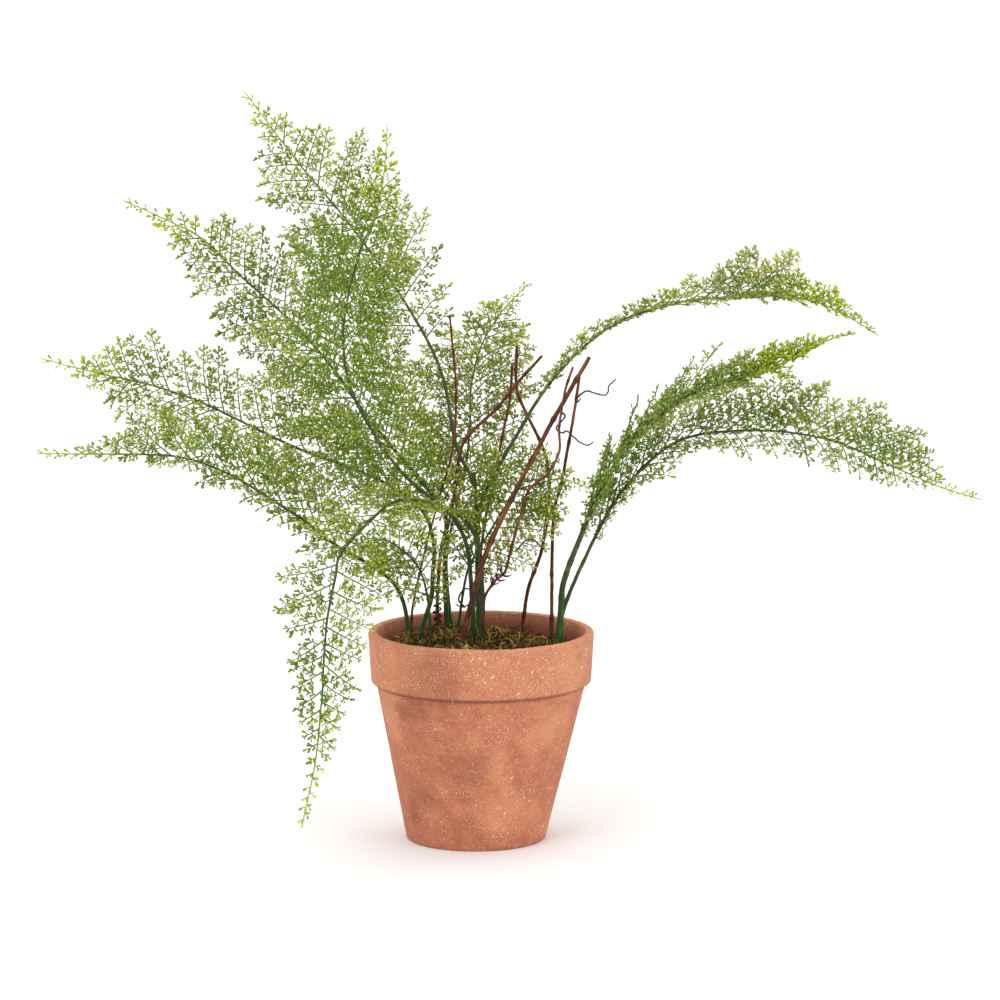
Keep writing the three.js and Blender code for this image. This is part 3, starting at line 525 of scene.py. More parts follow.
def terracotta():
    """Earthenware, thrown, fired and left unglazed: dull and chalky, mottled by damp and hands, with
    turning lines round it and dried lime spattered over the rim."""
    look = bpy.context.scene.fern_pot
    material, n, shader = principled("weathered_terracotta", IOR=1.5)
    place = n("coordinates", out=None).outputs["Object"]
    centred = n("mapping", place, tuple(-c for c in (POT_AXIS.x, POT_AXIS.y, 0.0)))
    height = n("split", centred, out=None).outputs["Z"]

    # Patches of 40 mm, mottling of 9 mm and grain of 1.4 mm.
    broad = n("noise", centred, Scale=PER_MM / 40, Detail=3.0, Roughness=0.55)
    mottle = n("noise", centred, Scale=PER_MM / 9, Detail=5.0, Roughness=0.65)
    grain = n("noise", centred, Scale=PER_MM / 1.4, Detail=3.0, Roughness=0.6)
    # Turning lines 1.6 mm apart in height and 60 mm long.
    drawn = n("mapping", centred, Scale=(1 / 38, 1 / 38, 1.0))
    lines = n("noise", drawn, Scale=PER_MM / 1.6, Detail=3.0, Roughness=0.6)

    # Where hands and damp have darkened the clay, and where dust has settled: places and reaches in
    # mm, with edges torn by the broad noise.
    torn = n("noise", centred, Scale=PER_MM / 26, Detail=4.0, Roughness=0.6, out=1)
    torn = n("vector_subtract", torn, (0.5, 0.5, 0.5))
    torn = n("vector_scale", torn, Scale=44 * MM)
    torn = n("vector_add", centred, torn)

    def patches(places):
        total = None
        for x, y, z, reach in places:
            far = n("vector_distance", torn, (x * MM, y * MM, z * MM))
            near = n("smooth_range", far, reach * MM, reach * 0.25 * MM, 0.0, 1.0)
            total = near if total is None else n("maximum", total, near)
        return total

    light = n("smooth_range", broad, 0.5, 0.66, 0.0, 0.7)
    light = n("maximum", light, n("multiply", patches(DUSTY), 0.85))
    paint = n("blend", light, look.clay, look.clay_light)
    mottled = n("range", mottle, 0.38, 0.68, 0.0, 0.55)
    paint = n("blend", mottled, paint, look.clay_light)
    band_foot = look.height - look.band_height
    # The band is chalkier than the body, and its lip palest of all: that is a painted highlight along the
    # upward-facing lip.
    chalky = n("range", height, band_foot - 0.5 * MM, band_foot + 1.5 * MM, 0.0, 0.35)
    lip = n("range", height, look.height - 2.2 * MM, look.height - 0.6 * MM, 0.0, 0.35)
    chalky = n("add", chalky, lip)
    paint = n("blend", chalky, paint, look.clay_light)
    shifted = n("mapping", centred, (0.31, 0.17, 0.05))
    damp = n("noise", shifted, Scale=PER_MM / 34, Detail=4.0, Roughness=0.6)
    damp = n("smooth_range", damp, 0.55, 0.72, 0.0, 0.4)
    handled = n("multiply", patches(HANDLED), 0.5)
    damp = n("maximum", damp, handled)
    paint = n("blend", damp, paint, look.clay_dark)
    streak = n("range", lines, 0.48, 0.74, 0.0, 0.2)
    paint = n("blend", streak, paint, look.clay_light)
    speck = n("range", grain, 0.32, 0.47, 0.35, 0.0)
    paint = n("blend", speck, paint, look.clay_dark)
    # Pale grains of 0.5 mm lie thick in some places and thin in others.
    grains = n("noise", centred, Scale=PER_MM / 1.0, Detail=2.0, Roughness=0.7)
    grains = n("range", grains, 0.55, 0.64, 0.0, 0.6)
    strewn = n("noise", n("mapping", centred, (0.4, 0.2, 0.7)), Scale=PER_MM / 14, Detail=4.0,
               Roughness=0.65)
    strewn = n("range", strewn, 0.4, 0.62, 0.15, 1.0)
    strewn = n("multiply", grains, strewn)
    paint = n("blend", strewn, paint, look.clay_dust)
    # Painted shadow: a dark line in the corner under the band.
    corner = n("absolute", n("subtract", height, band_foot - 0.6 * MM))
    corner = n("smooth_range", corner, 0.4 * MM, 2.4 * MM, 0.75, 0.0)
    paint = n("blend", corner, paint, look.clay_band_shadow)

    # Lime flecks: a few blobs, many drops and a fine dust, thick in clouds on the band and thin below.
    wander = n("noise", centred, Scale=PER_MM / 2.2, Detail=3.0, out=1)
    wander = n("vector_subtract", wander, (0.5, 0.5, 0.5))
    wander = n("vector_scale", wander, Scale=4.4 * MM)
    flung = n("vector_add", centred, wander)
    on_band = n("range", height, band_foot - 4 * MM, band_foot + 6 * MM, 0.03, 0.18)
    splashed = n("range", n("split", centred, out=None).outputs["X"], -50 * MM, 10 * MM, -0.04, 0.05)
    clouds = n("noise", n("mapping", centred, (0.1, 0.5, 0.2)), Scale=PER_MM / 17, Detail=5.0,
               Roughness=0.72)
    clouds = n("add", n("add", clouds, on_band), splashed)
    clouds = n("range", clouds, 0.54, 0.74, 0.0, 1.0)
    flecks = None
    for spacing, reach, within, elsewhere, cover in ((4.2, 0.19, 0.34, 0.004, 0.9),
                                                     (1.8, 0.24, 0.6, 0.04, 0.8),
                                                     (0.95, 0.4, 0.8, 0.12, 0.6)):
        cells = n("cells", flung, Scale=PER_MM / spacing, Randomness=1.0, out=None)
        drop = n("split_colour", cells.outputs["Color"], out=None)
        wide = n("multiply", drop.outputs[0], reach)
        room = n("range", clouds, 0.0, 1.0, elsewhere, within)
        wanted = n("less_than", drop.outputs[1], room)
        near = n("less_than", cells.outputs["Distance"], wide)
        spot = n("multiply", n("multiply", near, wanted), cover)
        flecks = spot if flecks is None else n("maximum", flecks, spot)
    outside = n("vector_length", n("vector_multiply", centred, (1, 1, 0)))
    inner = n("range", height, look.height - 3 * MM, look.height - 9 * MM, 0.0, 1.0)
    mouth = n("less_than", outside, look.rim_radius - look.wall + 0.6 * MM)
    upper = n("greater_than", height, band_foot)
    inner = n("multiply", n("multiply", inner, mouth), upper)
    flecks = n("multiply", flecks, n("subtract", 1.0, inner))
    paint = n("blend", flecks, paint, look.lime)
    # Painted shade darkens the inside of the mouth below the lip.
    painted_inner_shade = n("multiply", inner, 0.75)
    paint = n("blend", painted_inner_shade, paint, look.clay_dark)
    dull = n("range", mottle, 0.3, 0.7, 0.78, 0.95)
    relief = n("add", grain, n("multiply", lines, 0.7))
    relief = n("add", relief, n("multiply", flecks, 0.5))
    bumps = n("bump", Height=relief, Strength=0.5, Distance=0.16 * MM)
    dress(shader, Base_Color=paint, Roughness=dull, Normal=bumps)
    return material


def fern_leaf():
    """Soft polyethylene leaf, moulded and brushed with thinned paint: a soft sheen, each leaflet its
    own green, paler and yellower towards the frond's tip, a few tinged with brown."""
    look = bpy.context.scene.fern_leaves
    material, n, shader = principled("moulded_fern_leaf", IOR=1.46, Roughness=0.55,
                                     Specular_IOR_Level=0.25)
    names = ("tint", "young", "reach", "stalk", "wash", "warmth")
    tint, young, reach, stalk, wash, warmth = (n("attribute", attribute_name=name,
                                                 out=None).outputs["Fac"] for name in names)
    deep = n("range", tint, 0.2, 0.5, 0.9, 0.0)
    paint = n("blend", deep, look.green, look.deep)
    # Pale leaflets and the per-frond paleness are partly washed-out paint and partly painted highlight.
    pale = n("range", tint, 0.4, 0.8, -0.35, 0.5)
    pale = n("add", pale, wash, use_clamp=True)
    paint = n("blend", pale, paint, look.pale)
    cold = n("multiply", warmth, -2.0, use_clamp=True)
    paint = n("blend", cold, paint, look.cool)
    warm = n("maximum", n("multiply", young, 0.92), warmth)
    uneven = n("range", tint, 0.1, 0.7, 0.6, 1.0)
    warm = n("multiply", warm, uneven, use_clamp=True)
    paint = n("blend", warm, paint, look.tip)
    # One leaflet in twelve is browned.
    odd = n("absolute", n("subtract", tint, 0.43))
    odd = n("less_than", odd, 0.04)
    rust = n("multiply", odd, 0.55)
    paint = n("blend", rust, paint, look.rust)
    # The brush reaches the outer half of a leaflet, and its neck stays dark.
    neck = n("range", reach, 0.0, 0.6, 0.35, 0.0)
    paint = n("blend", neck, paint, look.deep)
    paint = n("blend", stalk, paint, look.stalks)
    dress(shader, Base_Color=paint)
    return material


def green_stem():
    """Wire sleeved in extruded polyethylene: waxy, bluish green at the foot and olive above, with
    fine darker streaks along it."""
    look = bpy.context.scene.fern_wood
    material, n, shader = principled("sleeved_green_stem", IOR=1.5, Specular_IOR_Level=0.3)
    path = n("attribute", attribute_name="path", out=None).outputs["Vector"]
    place = n("coordinates", out=None).outputs["Object"]
    height = n("split", place, out=None).outputs["Z"]
    # Streaks 12 mm long and about 0.6 mm wide.
    streaks = n("noise", n("mapping", path, Scale=(1.6, 1.6, 1 / 12 * PER_MM)), Scale=1.0, Detail=4.0,
                Roughness=0.65)
    blotches = n("noise", n("mapping", path, Scale=(0.8, 0.8, 1 / 5 * PER_MM)), Scale=1.0, Detail=3.0)
    foot = n("smooth_range", height, MOSS_LEVEL + 50 * MM, MOSS_LEVEL - 5 * MM, 0.0, 0.85)
    paint = n("blend", foot, look.stem, look.stem_foot)
    dark = n("range", streaks, 0.45, 0.7, 0.0, 0.8)
    paint = n("blend", dark, paint, look.stem_dark)
    # Pale patches along the stems are painted highlights.
    worn = n("range", blotches, 0.56, 0.72, 0.0, 0.35)
    paint = n("blend", worn, paint, look.stem_worn)
    share = n("attribute", attribute_name="share", out=None).outputs["Fac"]
    young = n("range", share, 0.8, 0.97, 0.0, 0.8)
    paint = n("blend", young, paint, bpy.context.scene.fern_leaves.tip)
    dress(shader, Base_Color=paint, Roughness=n("range", blotches, 0.3, 0.7, 0.34, 0.6),
          Normal=n("bump", Height=streaks, Strength=0.5, Distance=0.2 * MM))
    return material


def twig_bark():
    """Dried vine twig, bark left on: red-brown, finely furrowed lengthwise, with pale patches that are
    painted highlights, and nearly black at the knots."""
    look = bpy.context.scene.fern_wood
    material, n, shader = principled("dried_vine_bark", IOR=1.45, Specular_IOR_Level=0.3)
    path = n("attribute", attribute_name="path", out=None).outputs["Vector"]
    knot = n("attribute", attribute_name="knot", out=None).outputs["Fac"]
    # Furrows 9 mm long and 0.4 mm wide.
    furrows = n("noise", n("mapping", path, Scale=(2.6, 2.6, 1 / 9 * PER_MM)), Scale=1.0, Detail=5.0,
                Roughness=0.7)
    patches = n("noise", n("mapping", path, Scale=(0.5, 0.5, 1 / 22 * PER_MM)), Scale=1.0, Detail=3.0)
    dark = n("range", furrows, 0.42, 0.62, 0.85, 0.0)
    paint = n("blend", dark, look.bark, look.bark_dark)
    # Pale patches on the bark are painted highlights.
    pale = n("range", patches, 0.5, 0.66, 0.0, 0.6)
    paint = n("blend", pale, paint, look.bark_pale)
    paint = n("blend", n("multiply", knot, 0.85), paint, look.bark_dark)
    dress(shader, Base_Color=paint, Roughness=n("range", furrows, 0.3, 0.7, 0.85, 0.55),
          Normal=n("bump", Height=furrows, Strength=0.7, Distance=0.3 * MM))
    return material


def dry_tendril():
    """Dried tendril: thin, hard and grey-purple, with a faint shine and darker brown bands."""
    look = bpy.context.scene.fern_wood
    material, n, shader = principled("dried_tendril", IOR=1.45, Roughness=0.55)
    place = n("coordinates", out=None).outputs["Object"]
    bands = n("noise", place, Scale=PER_MM / 3, Detail=3.0)
    mix = n("range", bands, 0.4, 0.65, 0.0, 0.8)
    tone = n("blend", mix, look.tendril, look.bark_dark)
    bumps = n("bump", Height=bands, Strength=0.4, Distance=0.1 * MM)
    dress(shader, Base_Color=tone, Normal=bumps)
    return material


def sheet_moss():
    """Dried and dyed sheet moss: matt, dark between its strands, olive and brown, with straw-pale
    tips that are a painted sunlit highlight."""
    look = bpy.context.scene.fern_wood
    material, n, shader = principled("dried_sheet_moss", IOR=1.4, Roughness=0.9)
    place = n("coordinates", out=None).outputs["Object"]
    tint = n("attribute", attribute_name="tint", out=None).outputs["Fac"]
    strand = n("attribute", attribute_name="strand", out=None).outputs["Fac"]
    clumps = n("noise", place, Scale=PER_MM / 16, Detail=3.0)
    dry = n("range", n("add", clumps, tint), 0.75, 1.3, 1.0, 0.0)
    paint = n("blend", dry, look.moss, look.moss_dry)
    # Pale strands are a painted sunlit highlight.
    pale = n("range", tint, 0.55, 0.95, 0.0, 0.9)
    paint = n("blend", pale, paint, look.moss_pale)
    fine = n("noise", place, Scale=PER_MM / 2.5, Detail=4.0)
    ground = n("range", fine, 0.4, 0.7, 0.0, 0.45)
    earth = n("blend", ground, look.soil, look.moss_dry)
    paint = n("blend", strand, earth, paint)
    bumps = n("bump", Height=fine, Strength=0.8, Distance=0.6 * MM)
    dress(shader, Base_Color=paint, Normal=bumps)
    return material


def coir_fill():
    """Pressed coir and peat: dull dark brown with straw-coloured fibres and crumbs."""
    look = bpy.context.scene.fern_wood
    material, n, shader = principled("pressed_coir_fill", IOR=1.4, Roughness=0.95)
    place = n("coordinates", out=None).outputs["Object"]
    crumbs = n("cells", place, Scale=PER_MM / 2.8)
    fibres = n("noise", n("mapping", place, Scale=(1.0, 0.15, 0.4)), Scale=PER_MM / 1.2, Detail=4.0)
    mix = n("range", fibres, 0.5, 0.72, 0.0, 0.7)
    tone = n("blend", mix, look.soil, look.coir)
    bumps = n("bump", Height=crumbs, Strength=0.9, Distance=1.0 * MM)
    dress(shader, Base_Color=tone, Normal=bumps)
    return material


def paper_sweep():
    """Studio paper, rolled out: matt and nearly white, with faint clouding of its fibres."""
    look = bpy.context.scene.fern_stage
    material, n, shader = principled("matt_paper_sweep", Roughness=0.9)
    place = n("coordinates", out=None).outputs["Object"]
    fibre = n("noise", place, Scale=PER_MM / 4, Detail=2.0)
    mix = n("range", fibre, 0.3, 0.7, 0.0, 0.03)
    dress(shader, Base_Color=n("blend", mix, look.floor, look.fibre))
    return material


# ---- Pot ----
POT_SIDES = 192
# How far the body's outside leans to the left at its foot.
BODY_LEAN = 3.5 * MM
# How much narrower than the rim the body is under the band and at its foot.
BODY_INSET, FOOT_INSET = 5.5 * MM, 28.5 * MM
DRAIN_RADIUS, FLOOR_THICKNESS = 8 * MM, 8 * MM


def pot_inside(look, z):
    """The radius of the pot's inside at a height."""
    band = look.height - look.band_height
    if z > band:
        return look.rim_radius - look.wall - BODY_INSET * (look.height - z) / look.band_height
    shrink = BODY_INSET + (FOOT_INSET - BODY_INSET) * (1 - z / band)
    return look.rim_radius - look.wall - shrink


def pot_profile(look):
    """Radius and height of points round the pot's section, from the drain hole's foot and back."""
    rim, wall, height = look.rim_radius, look.wall, look.height
    band = height - look.band_height
    band_radius, body_radius, foot = rim - 2 * MM, rim - BODY_INSET, rim - FOOT_INSET
    drain, floor = DRAIN_RADIUS, FLOOR_THICKNESS
    inner = partial(pot_inside, look)

    def corner(r, z, start, end, radius):
        """A round corner about (r, z), through the angles from start to end."""
        turns = np.radians(np.linspace(start, end, 6))
        return [(r + radius * math.cos(a), z + radius * math.sin(a)) for a in turns]

    def run(a, b, steps):
        """The points between two ends of a straight stretch."""
        share = np.linspace(0, 1, steps + 1)[1:-1]
        return [(a[0] + (b[0] - a[0]) * s, a[1] + (b[1] - a[1]) * s) for s in share]

    soft, lip = 2.2 * MM, 2.4 * MM
    parts = [
        [(drain, 0.4 * MM), (drain + 0.5 * MM, 0), (foot - 12 * MM, 0)],
        corner(foot - soft, soft, -90, 0, soft),
        [(body_radius - 0.1 * MM, band - 1.2 * MM), (body_radius + 0.5 * MM, band - 0.1 * MM)],
        corner(band_radius - 1.3 * MM, band + 1.3 * MM, -90, 0, 1.3 * MM),
        corner(rim - lip, height - lip, 0, 90, lip),
        corner(rim - wall + 1.8 * MM, height - 1.8 * MM, 90, 180, 1.8 * MM),
        [(inner(band), band), (inner(floor + 3 * MM), floor + 3 * MM), (inner(floor) - 4 * MM, floor)],
        [(drain + 0.5 * MM, floor), (drain, floor - 0.4 * MM)],
    ]
    points = []
    for part in parts:
        if points:
            gap = math.dist(points[-1], part[0])
            points += run(points[-1], part[0], max(1, round(gap / (2.5 * MM))))
        points += part
    points += run(points[-1], points[0], 3)
    return points


def pot_mesh(look):
    """The pot as one closed skin, slightly uneven from the wheel, its lips and foot a little worn. The
    outside of its body leans a little to the left on its way down."""
    profile = pot_profile(look)
    top = max(range(len(profile)), key=lambda i: profile[i][1])
    band = look.height - look.band_height
    points = []
    for i, (r, z) in enumerate(profile):
        low = max(0.0, 1 - z / band) if i < top else 0.0
        lean = -BODY_LEAN * low * min(1.0, max(0.0, (r - 20 * MM) / (20 * MM)))
        at_lip = z > look.height - 4 * MM
        at_edge = z > look.height - 3 * MM or z < 2.5 * MM
        for k in range(POT_SIDES):
            turn = 2 * math.pi * k / POT_SIDES
            way = Vector((math.cos(turn), math.sin(turn), 0))
            at = way * r + Vector((0, 0, z))
            swell = noise.noise(at / (45 * MM)) * 0.22 * MM
            # Rings from the thrower's fingers, and small dents.
            swell += math.sin(z / (5.5 * MM) + noise.noise(at / (30 * MM)) * 2) * 0.05 * MM
            swell += noise.noise(at / (6 * MM)) * 0.07 * MM
            worn = max(0.0, noise.noise(at / (4.5 * MM) + Vector((3, 1, 7))) - 0.28)
            drop = 1.1 * MM * worn if at_edge else 0.0
            # The foot's underside stays flat, to stand on.
            out = r + swell if z > 1 * MM else r
            up = z + (noise.noise(way * 2.2) * 0.25 * MM - drop if at_lip else 0)
            points.append((POT_AXIS.x + lean + way.x * out, POT_AXIS.y + way.y * out, max(0.0, up)))
    faces, rings = [], len(profile)
    for i in range(rings):
        j = (i + 1) % rings
        for k in range(POT_SIDES):
            m = (k + 1) % POT_SIDES
            faces.append((i * POT_SIDES + k, i * POT_SIDES + m, j * POT_SIDES + m, j * POT_SIDES + k))
    piece = mesh_object("terracotta_pot", points, faces=faces)
    piece.data.shade_smooth()
    return piece


class FERN_OT_pot(Operator):
    """Make the terracotta pot"""
    bl_idname = "fern.pot"
    bl_label = "Terracotta Pot"

    def execute(self, context):
        piece = pot_mesh(context.scene.fern_pot)
        context.scene.collection.objects.link(piece)
        piece.data.materials.append(terracotta())
        finish_piece(piece, "terracotta", "pot")
        return {"FINISHED"}


class FERN_OT_fill(Operator):
    """Give the potting fill its surface"""
    bl_idname = "fern.fill"
    bl_label = "Potting Fill"

    def execute(self, context):
        fill = frame["nodes"]["potting_fill"]
        fill.data.materials.clear()
        fill.data.materials.append(coir_fill())
        return {"FINISHED"}


# ---- Moss ----
MOSS_RADIUS = 69 * MM
# Sprigs stand within this of the axis, and keep this far off the pot's wall.
SPRIG_REACH, WALL_GAP = 65 * MM, 0.4 * MM
SPRIG_KINDS, SPRIG_RADIUS = 8, 0.27 * MM
SPRIGS_PER_M2 = 165000
# Mounds in the moss: their place and width across, and how high they are, in mm.
MOUNDS = ((-8, 38, 24, 7.5), (22, 30, 15, 4.5), (-38, 14, 18, 4.0), (40, -16, 20, 3.0), (4, -34, 26, 3.0))


def moss_height(x, y):
    """Height of the moss over its level, at a place given from the pot's axis."""
    rise = 0.0
    for at_x, at_y, width, high in MOUNDS:
        far = ((x / MM - at_x) ** 2 + (y / MM - at_y) ** 2) / width**2
        rise += high * math.exp(-far) * MM
    at = Vector((x, y, 0))
    rise += noise.noise(at / (14 * MM)) * 2.6 * MM + noise.noise(at / (5 * MM)) * 1.6 * MM
    rise += noise.noise(at / (2.2 * MM)) * 0.7 * MM
    return rise


def moss_base():
    """A closed, lumpy cushion whose top faces carry the strands."""
    rings, sides = 34, 96
    level, under = MOSS_LEVEL - 3 * MM, MOSS_LEVEL - 11 * MM
    # Each ring is half a step round from the one before.
    turns = [2 * math.pi * (k + 0.5 * (i % 2)) / sides for i in range(rings + 1) for k in range(sides)]

    def top(i, turn):
        """A point of ring i, counted from the middle: the edge of the cushion rolls under."""
        x, y = (MOSS_RADIUS * i / rings * f(turn) for f in (math.cos, math.sin))
        edge = 1 - (i / rings) ** 6
        return POT_AXIS.x + x, POT_AXIS.y + y, level + moss_height(x, y) * edge - (1 - edge) * 2 * MM

    points = [top(0, 0)] + [top(1 + k // sides, turn) for k, turn in enumerate(turns[sides:])]
    faces = [(0, 1 + k, 1 + (k + 1) % sides) for k in range(sides)]
    for i in range(1, rings):
        a, b = 1 + (i - 1) * sides, 1 + i * sides
        for k in range(sides):
            m = (k + 1) % sides
            faces.append((a + k, b + k, b + m, a + m))
    middle, rim, low = len(points), len(points) - sides, len(points) + 1
    points.append((POT_AXIS.x, POT_AXIS.y, under))
    foot = MOSS_RADIUS - 1.5 * MM
    points += [(POT_AXIS.x + foot * math.cos(turn), POT_AXIS.y + foot * math.sin(turn), under)
               for turn in turns[-sides:]]
    for k in range(sides):
        m = (k + 1) % sides
        faces += [(rim + k, low + k, low + m, rim + m), (low + k, middle, low + m)]
    return mesh_object("moss_base", points, faces=faces)


def sprig_tree():
    """A moss sprig: a crooked strand set with tiny scales."""
    tree, given, n = new_tree("moss_sprig", Length="Float", Radius="Float", Scales="Int", Seed="Int",
                              Material="Material")
    f = n("spline")
    line = n("line", (0, 0, 0), (0, 0, 1))
    line = n("resample", line, Count=6)
    wave = n("noise", W=n("multiply", f, 2.2), Vector=n("combine", given["Seed"], 0.0, 0.0),
             noise_dimensions="4D", Scale=1.0, Detail=1.0, out=1)
    wave = n("vector_subtract", wave, (0.5, 0.5, 0.5))
    sway = n("vector_scale", wave, n("multiply", f, 3.4))
    place = n("vector_add", sway, n("combine", 0.0, 0.0, f))
    place = n("vector_scale", place, given["Length"])
    line = n("place", line, Position=place)
    ring = n("circle", 3, given["Radius"])
    strand = n("sweep", line, ring, Fill_Caps=True)
    spots = n("GeometryNodeCurveToPoints", line, given["Scales"], out=None)
    spread = n("random_vector", (0.5, 0.0, 0.0), (1.15, 0.0, 0.0), None, given["Seed"])
    spin = n("random_vector", (0.0, 0.0, 0.0), (0.0, 0.0, 6.283), None, n("add", given["Seed"], 1.0))
    around = n("turn_own", spots.outputs["Rotation"], n("euler", spin))
    around = n("turn_own", around, n("euler", spread))
    leaf = n("GeometryNodeMeshCone", 3, 1, 1, 0.0, n("multiply", given["Radius"], 1.25),
             n("multiply", given["Radius"], 5.5))
    scales = n("instances", spots.outputs["Points"], Instance=leaf, Rotation=around)
    both = n("realize", joined(tree, strand, scales))
    both = n("store", both, None, "strand", 1.0)
    return end_tree(tree, both, given["Material"])


def moss_tree():
    """Moss: sprigs scattered over the cushion's top, lying this way and that."""
    tree, given, n = new_tree("moss_cover", Sprigs="Collection", Density="Float", Seed="Int",
                              Material="Material")
    up = n("split", n("normal"), out=None).outputs["Z"]
    top = n("compare", up, 0.25, operation="GREATER_THAN")
    place = n("position")
    inside = n("vector_subtract", place, (POT_AXIS.x, POT_AXIS.y, 0.0))
    inside = n("vector_multiply", inside, (1, 1, 0))
    inside = n("compare", n("vector_length", inside), SPRIG_REACH, operation="LESS_THAN")
    top = n("FunctionNodeBooleanMath", top, inside, operation="AND")
    spots = n("GeometryNodeDistributePointsOnFaces", given["Geometry"], top, given["Density"],
              given["Seed"], out=None)
    sprigs = n("collection", given["Sprigs"], True, True)
    turn = n("random_vector", (0.5, -0.7, 0.0), (1.7, 0.7, 6.283), None, given["Seed"])
    grow = n("random", 0.6, 1.35, None, 5)
    pick = n("random_whole", 0, SPRIG_KINDS - 1, None, 9)
    # Euler angles turn a sprig about X last, so the spin about Z comes from a second turn.
    tilt = n("vector_multiply", turn, (1, 1, 0))
    spin = n("vector_multiply", turn, (0, 0, 1))
    whole = n("turn_whole", n("euler", tilt), n("euler", spin))
    strewn = n("instances", spots.outputs["Points"], Instance=sprigs, Pick_Instance=True,
               Instance_Index=pick, Rotation=whole, Scale=grow)
    tint = n("random", 0.0, 1.0, None, 3)
    strewn = n("store_each", strewn, None, "tint", tint)
    return end_tree(tree, joined(tree, strewn, given["Geometry"]), given["Material"])


class FERN_OT_moss(Operator):
    """Make the moss that covers the fill"""
    bl_idname = "fern.moss"
    bl_label = "Moss"

    def execute(self, context):
        material = sheet_moss()
        tree = sprig_tree()
        sprigs = bpy.data.collections.new("moss_sprigs")
        parts = [grown(f"sprig_{i}", tree, mesh_object("sprig", [(0, 0, 0)]), Length=(3.6 + 0.6 * i) * MM,
                       Radius=SPRIG_RADIUS, Scales=6 + i % 3, Seed=i + 1, Material=material)
                 for i in range(SPRIG_KINDS)]
        gather(sprigs, parts)
        moss = grown("sheet_moss", moss_tree(), moss_base(), Sprigs=sprigs, Density=SPRIGS_PER_M2,
                     Seed=4, Material=material)
        # Strands at the edge lie against the pot's wall.
        points = np.empty(len(moss.data.vertices) * 3)
        moss.data.vertices.foreach_get("co", points)
        points = points.reshape(-1, 3)
        out = points[:, :2] - (POT_AXIS.x, POT_AXIS.y)
        wall = np.array([pot_inside(context.scene.fern_pot, z) for z in points[:, 2]]) - WALL_GAP
        far = np.maximum(np.linalg.norm(out, axis=1), 1e-9)
        points[:, :2] = (POT_AXIS.x, POT_AXIS.y) + out * np.minimum(1, wall / far)[:, None]
        moss.data.vertices.foreach_set("co", points.ravel())
        discard(sprigs)
        moss.data.shade_smooth()
        finish_piece(moss, "moss", "moss_cover")
        return {"FINISHED"}


def gather(collection, parts):
    """Moves helper objects into a collection of their own, out of the scene."""
    for part in parts:
        bpy.context.scene.collection.objects.unlink(part)
        collection.objects.link(part)


def discard(collection):
    """Deletes a collection of helper objects with their meshes."""
    for part in list(collection.objects):
        mesh = part.data
        bpy.data.objects.remove(part)
        bpy.data.meshes.remove(mesh)
    bpy.data.collections.remove(collection)


# ---- Stems, twigs and tendrils ----
def tube_tree():
    """A round bar along each chain of edges, by its radius attribute, uneven and swollen at nodes."""
    tree, given, n = new_tree("uneven_bar", Sides="Int", Unevenness="Float", Crookedness="Float",
                              Node_Spacing="Float", Node_Swell="Float", Seed="Float", Material="Material")
    curve = n("to_curve", given["Geometry"])
    spline = n("spline", out=None)
    length = spline.outputs["Length"]
    radius = n("read", "radius")
    place = n("position")
    wave = n("noise", place, given["Seed"], Scale=PER_MM / 14, Detail=2.0, noise_dimensions="4D", out=1)
    wave = n("vector_subtract", wave, (0.5, 0.5, 0.5))
    wave = n("vector_scale", wave, given["Crookedness"])
    curve = n("place", curve, Offset=wave)
    curve = n("store", curve, None, "way", length)
    share = n("multiply", spline.outputs["Factor"], n("read", "young"))
    curve = n("store", curve, None, "share", share)
    rough = n("noise", place, given["Seed"], Scale=PER_MM / 3.5, Detail=2.0, noise_dimensions="4D")
    rough = n("multiply", n("subtract", rough, 0.5), given["Unevenness"])
    # A node swells over about a fifth of the distance between two nodes.
    cycle = n("fract", n("divide", length, given["Node Spacing"]))
    peak = n("absolute", n("subtract", cycle, 0.5))
    peak = n("smooth_range", peak, 0.0, 0.12, 1.0, 0.0)
    swell = n("multiply", peak, given["Node Swell"])
    share = n("add", n("add", rough, swell), 1.0)
    thick = n("multiply", share, radius)
    dark = n("read", "dark")
    curve = n("store", curve, None, "knot", n("maximum", n("multiply", peak, 0.6), dark))
    curve = n("store", curve, None, "thick", thick)
    ring = n("circle", given["Sides"], 1.0)
    ring = n("store_vector", ring, None, "ring", n("position"))
    thick = n("read", "thick")
    bar = n("sweep", curve, ring, thick, True)
    ring_at = n("read_vector", "ring")
    way = n("read", "way")
    path = n("vector_add", ring_at, n("combine", 0.0, 0.0, way))
    bar = n("store_vector", bar, None, "path", path)
    for helper in ("ring", "way", "thick", "radius", "dark", "young"):
        bar = n("forget", bar, Name=helper)
    bar = n("GeometryNodeSetShadeSmooth", bar, None, True)
    return end_tree(tree, bar, given["Material"])


def stem_curve(name):
    """A frond's stem as points and radii."""
    frond = FRONDS[name]
    curve = smooth_curve(placed(FROND_ROUTES[name]) if name in FORKED else planted(FROND_ROUTES[name]))
    return curve, tapered(len(curve), frond["radius"], STEM_TIP_RADIUS)


STEM_PIECES = {
    "central_stem": ("back_left", "right_high"),
    "right_stem": ("right_middle", "right_low"),
    **{f"{name}_stem": (name,) for name in FRONDS
       if name not in ("back_left", "right_high", "right_middle", "right_low")},
}


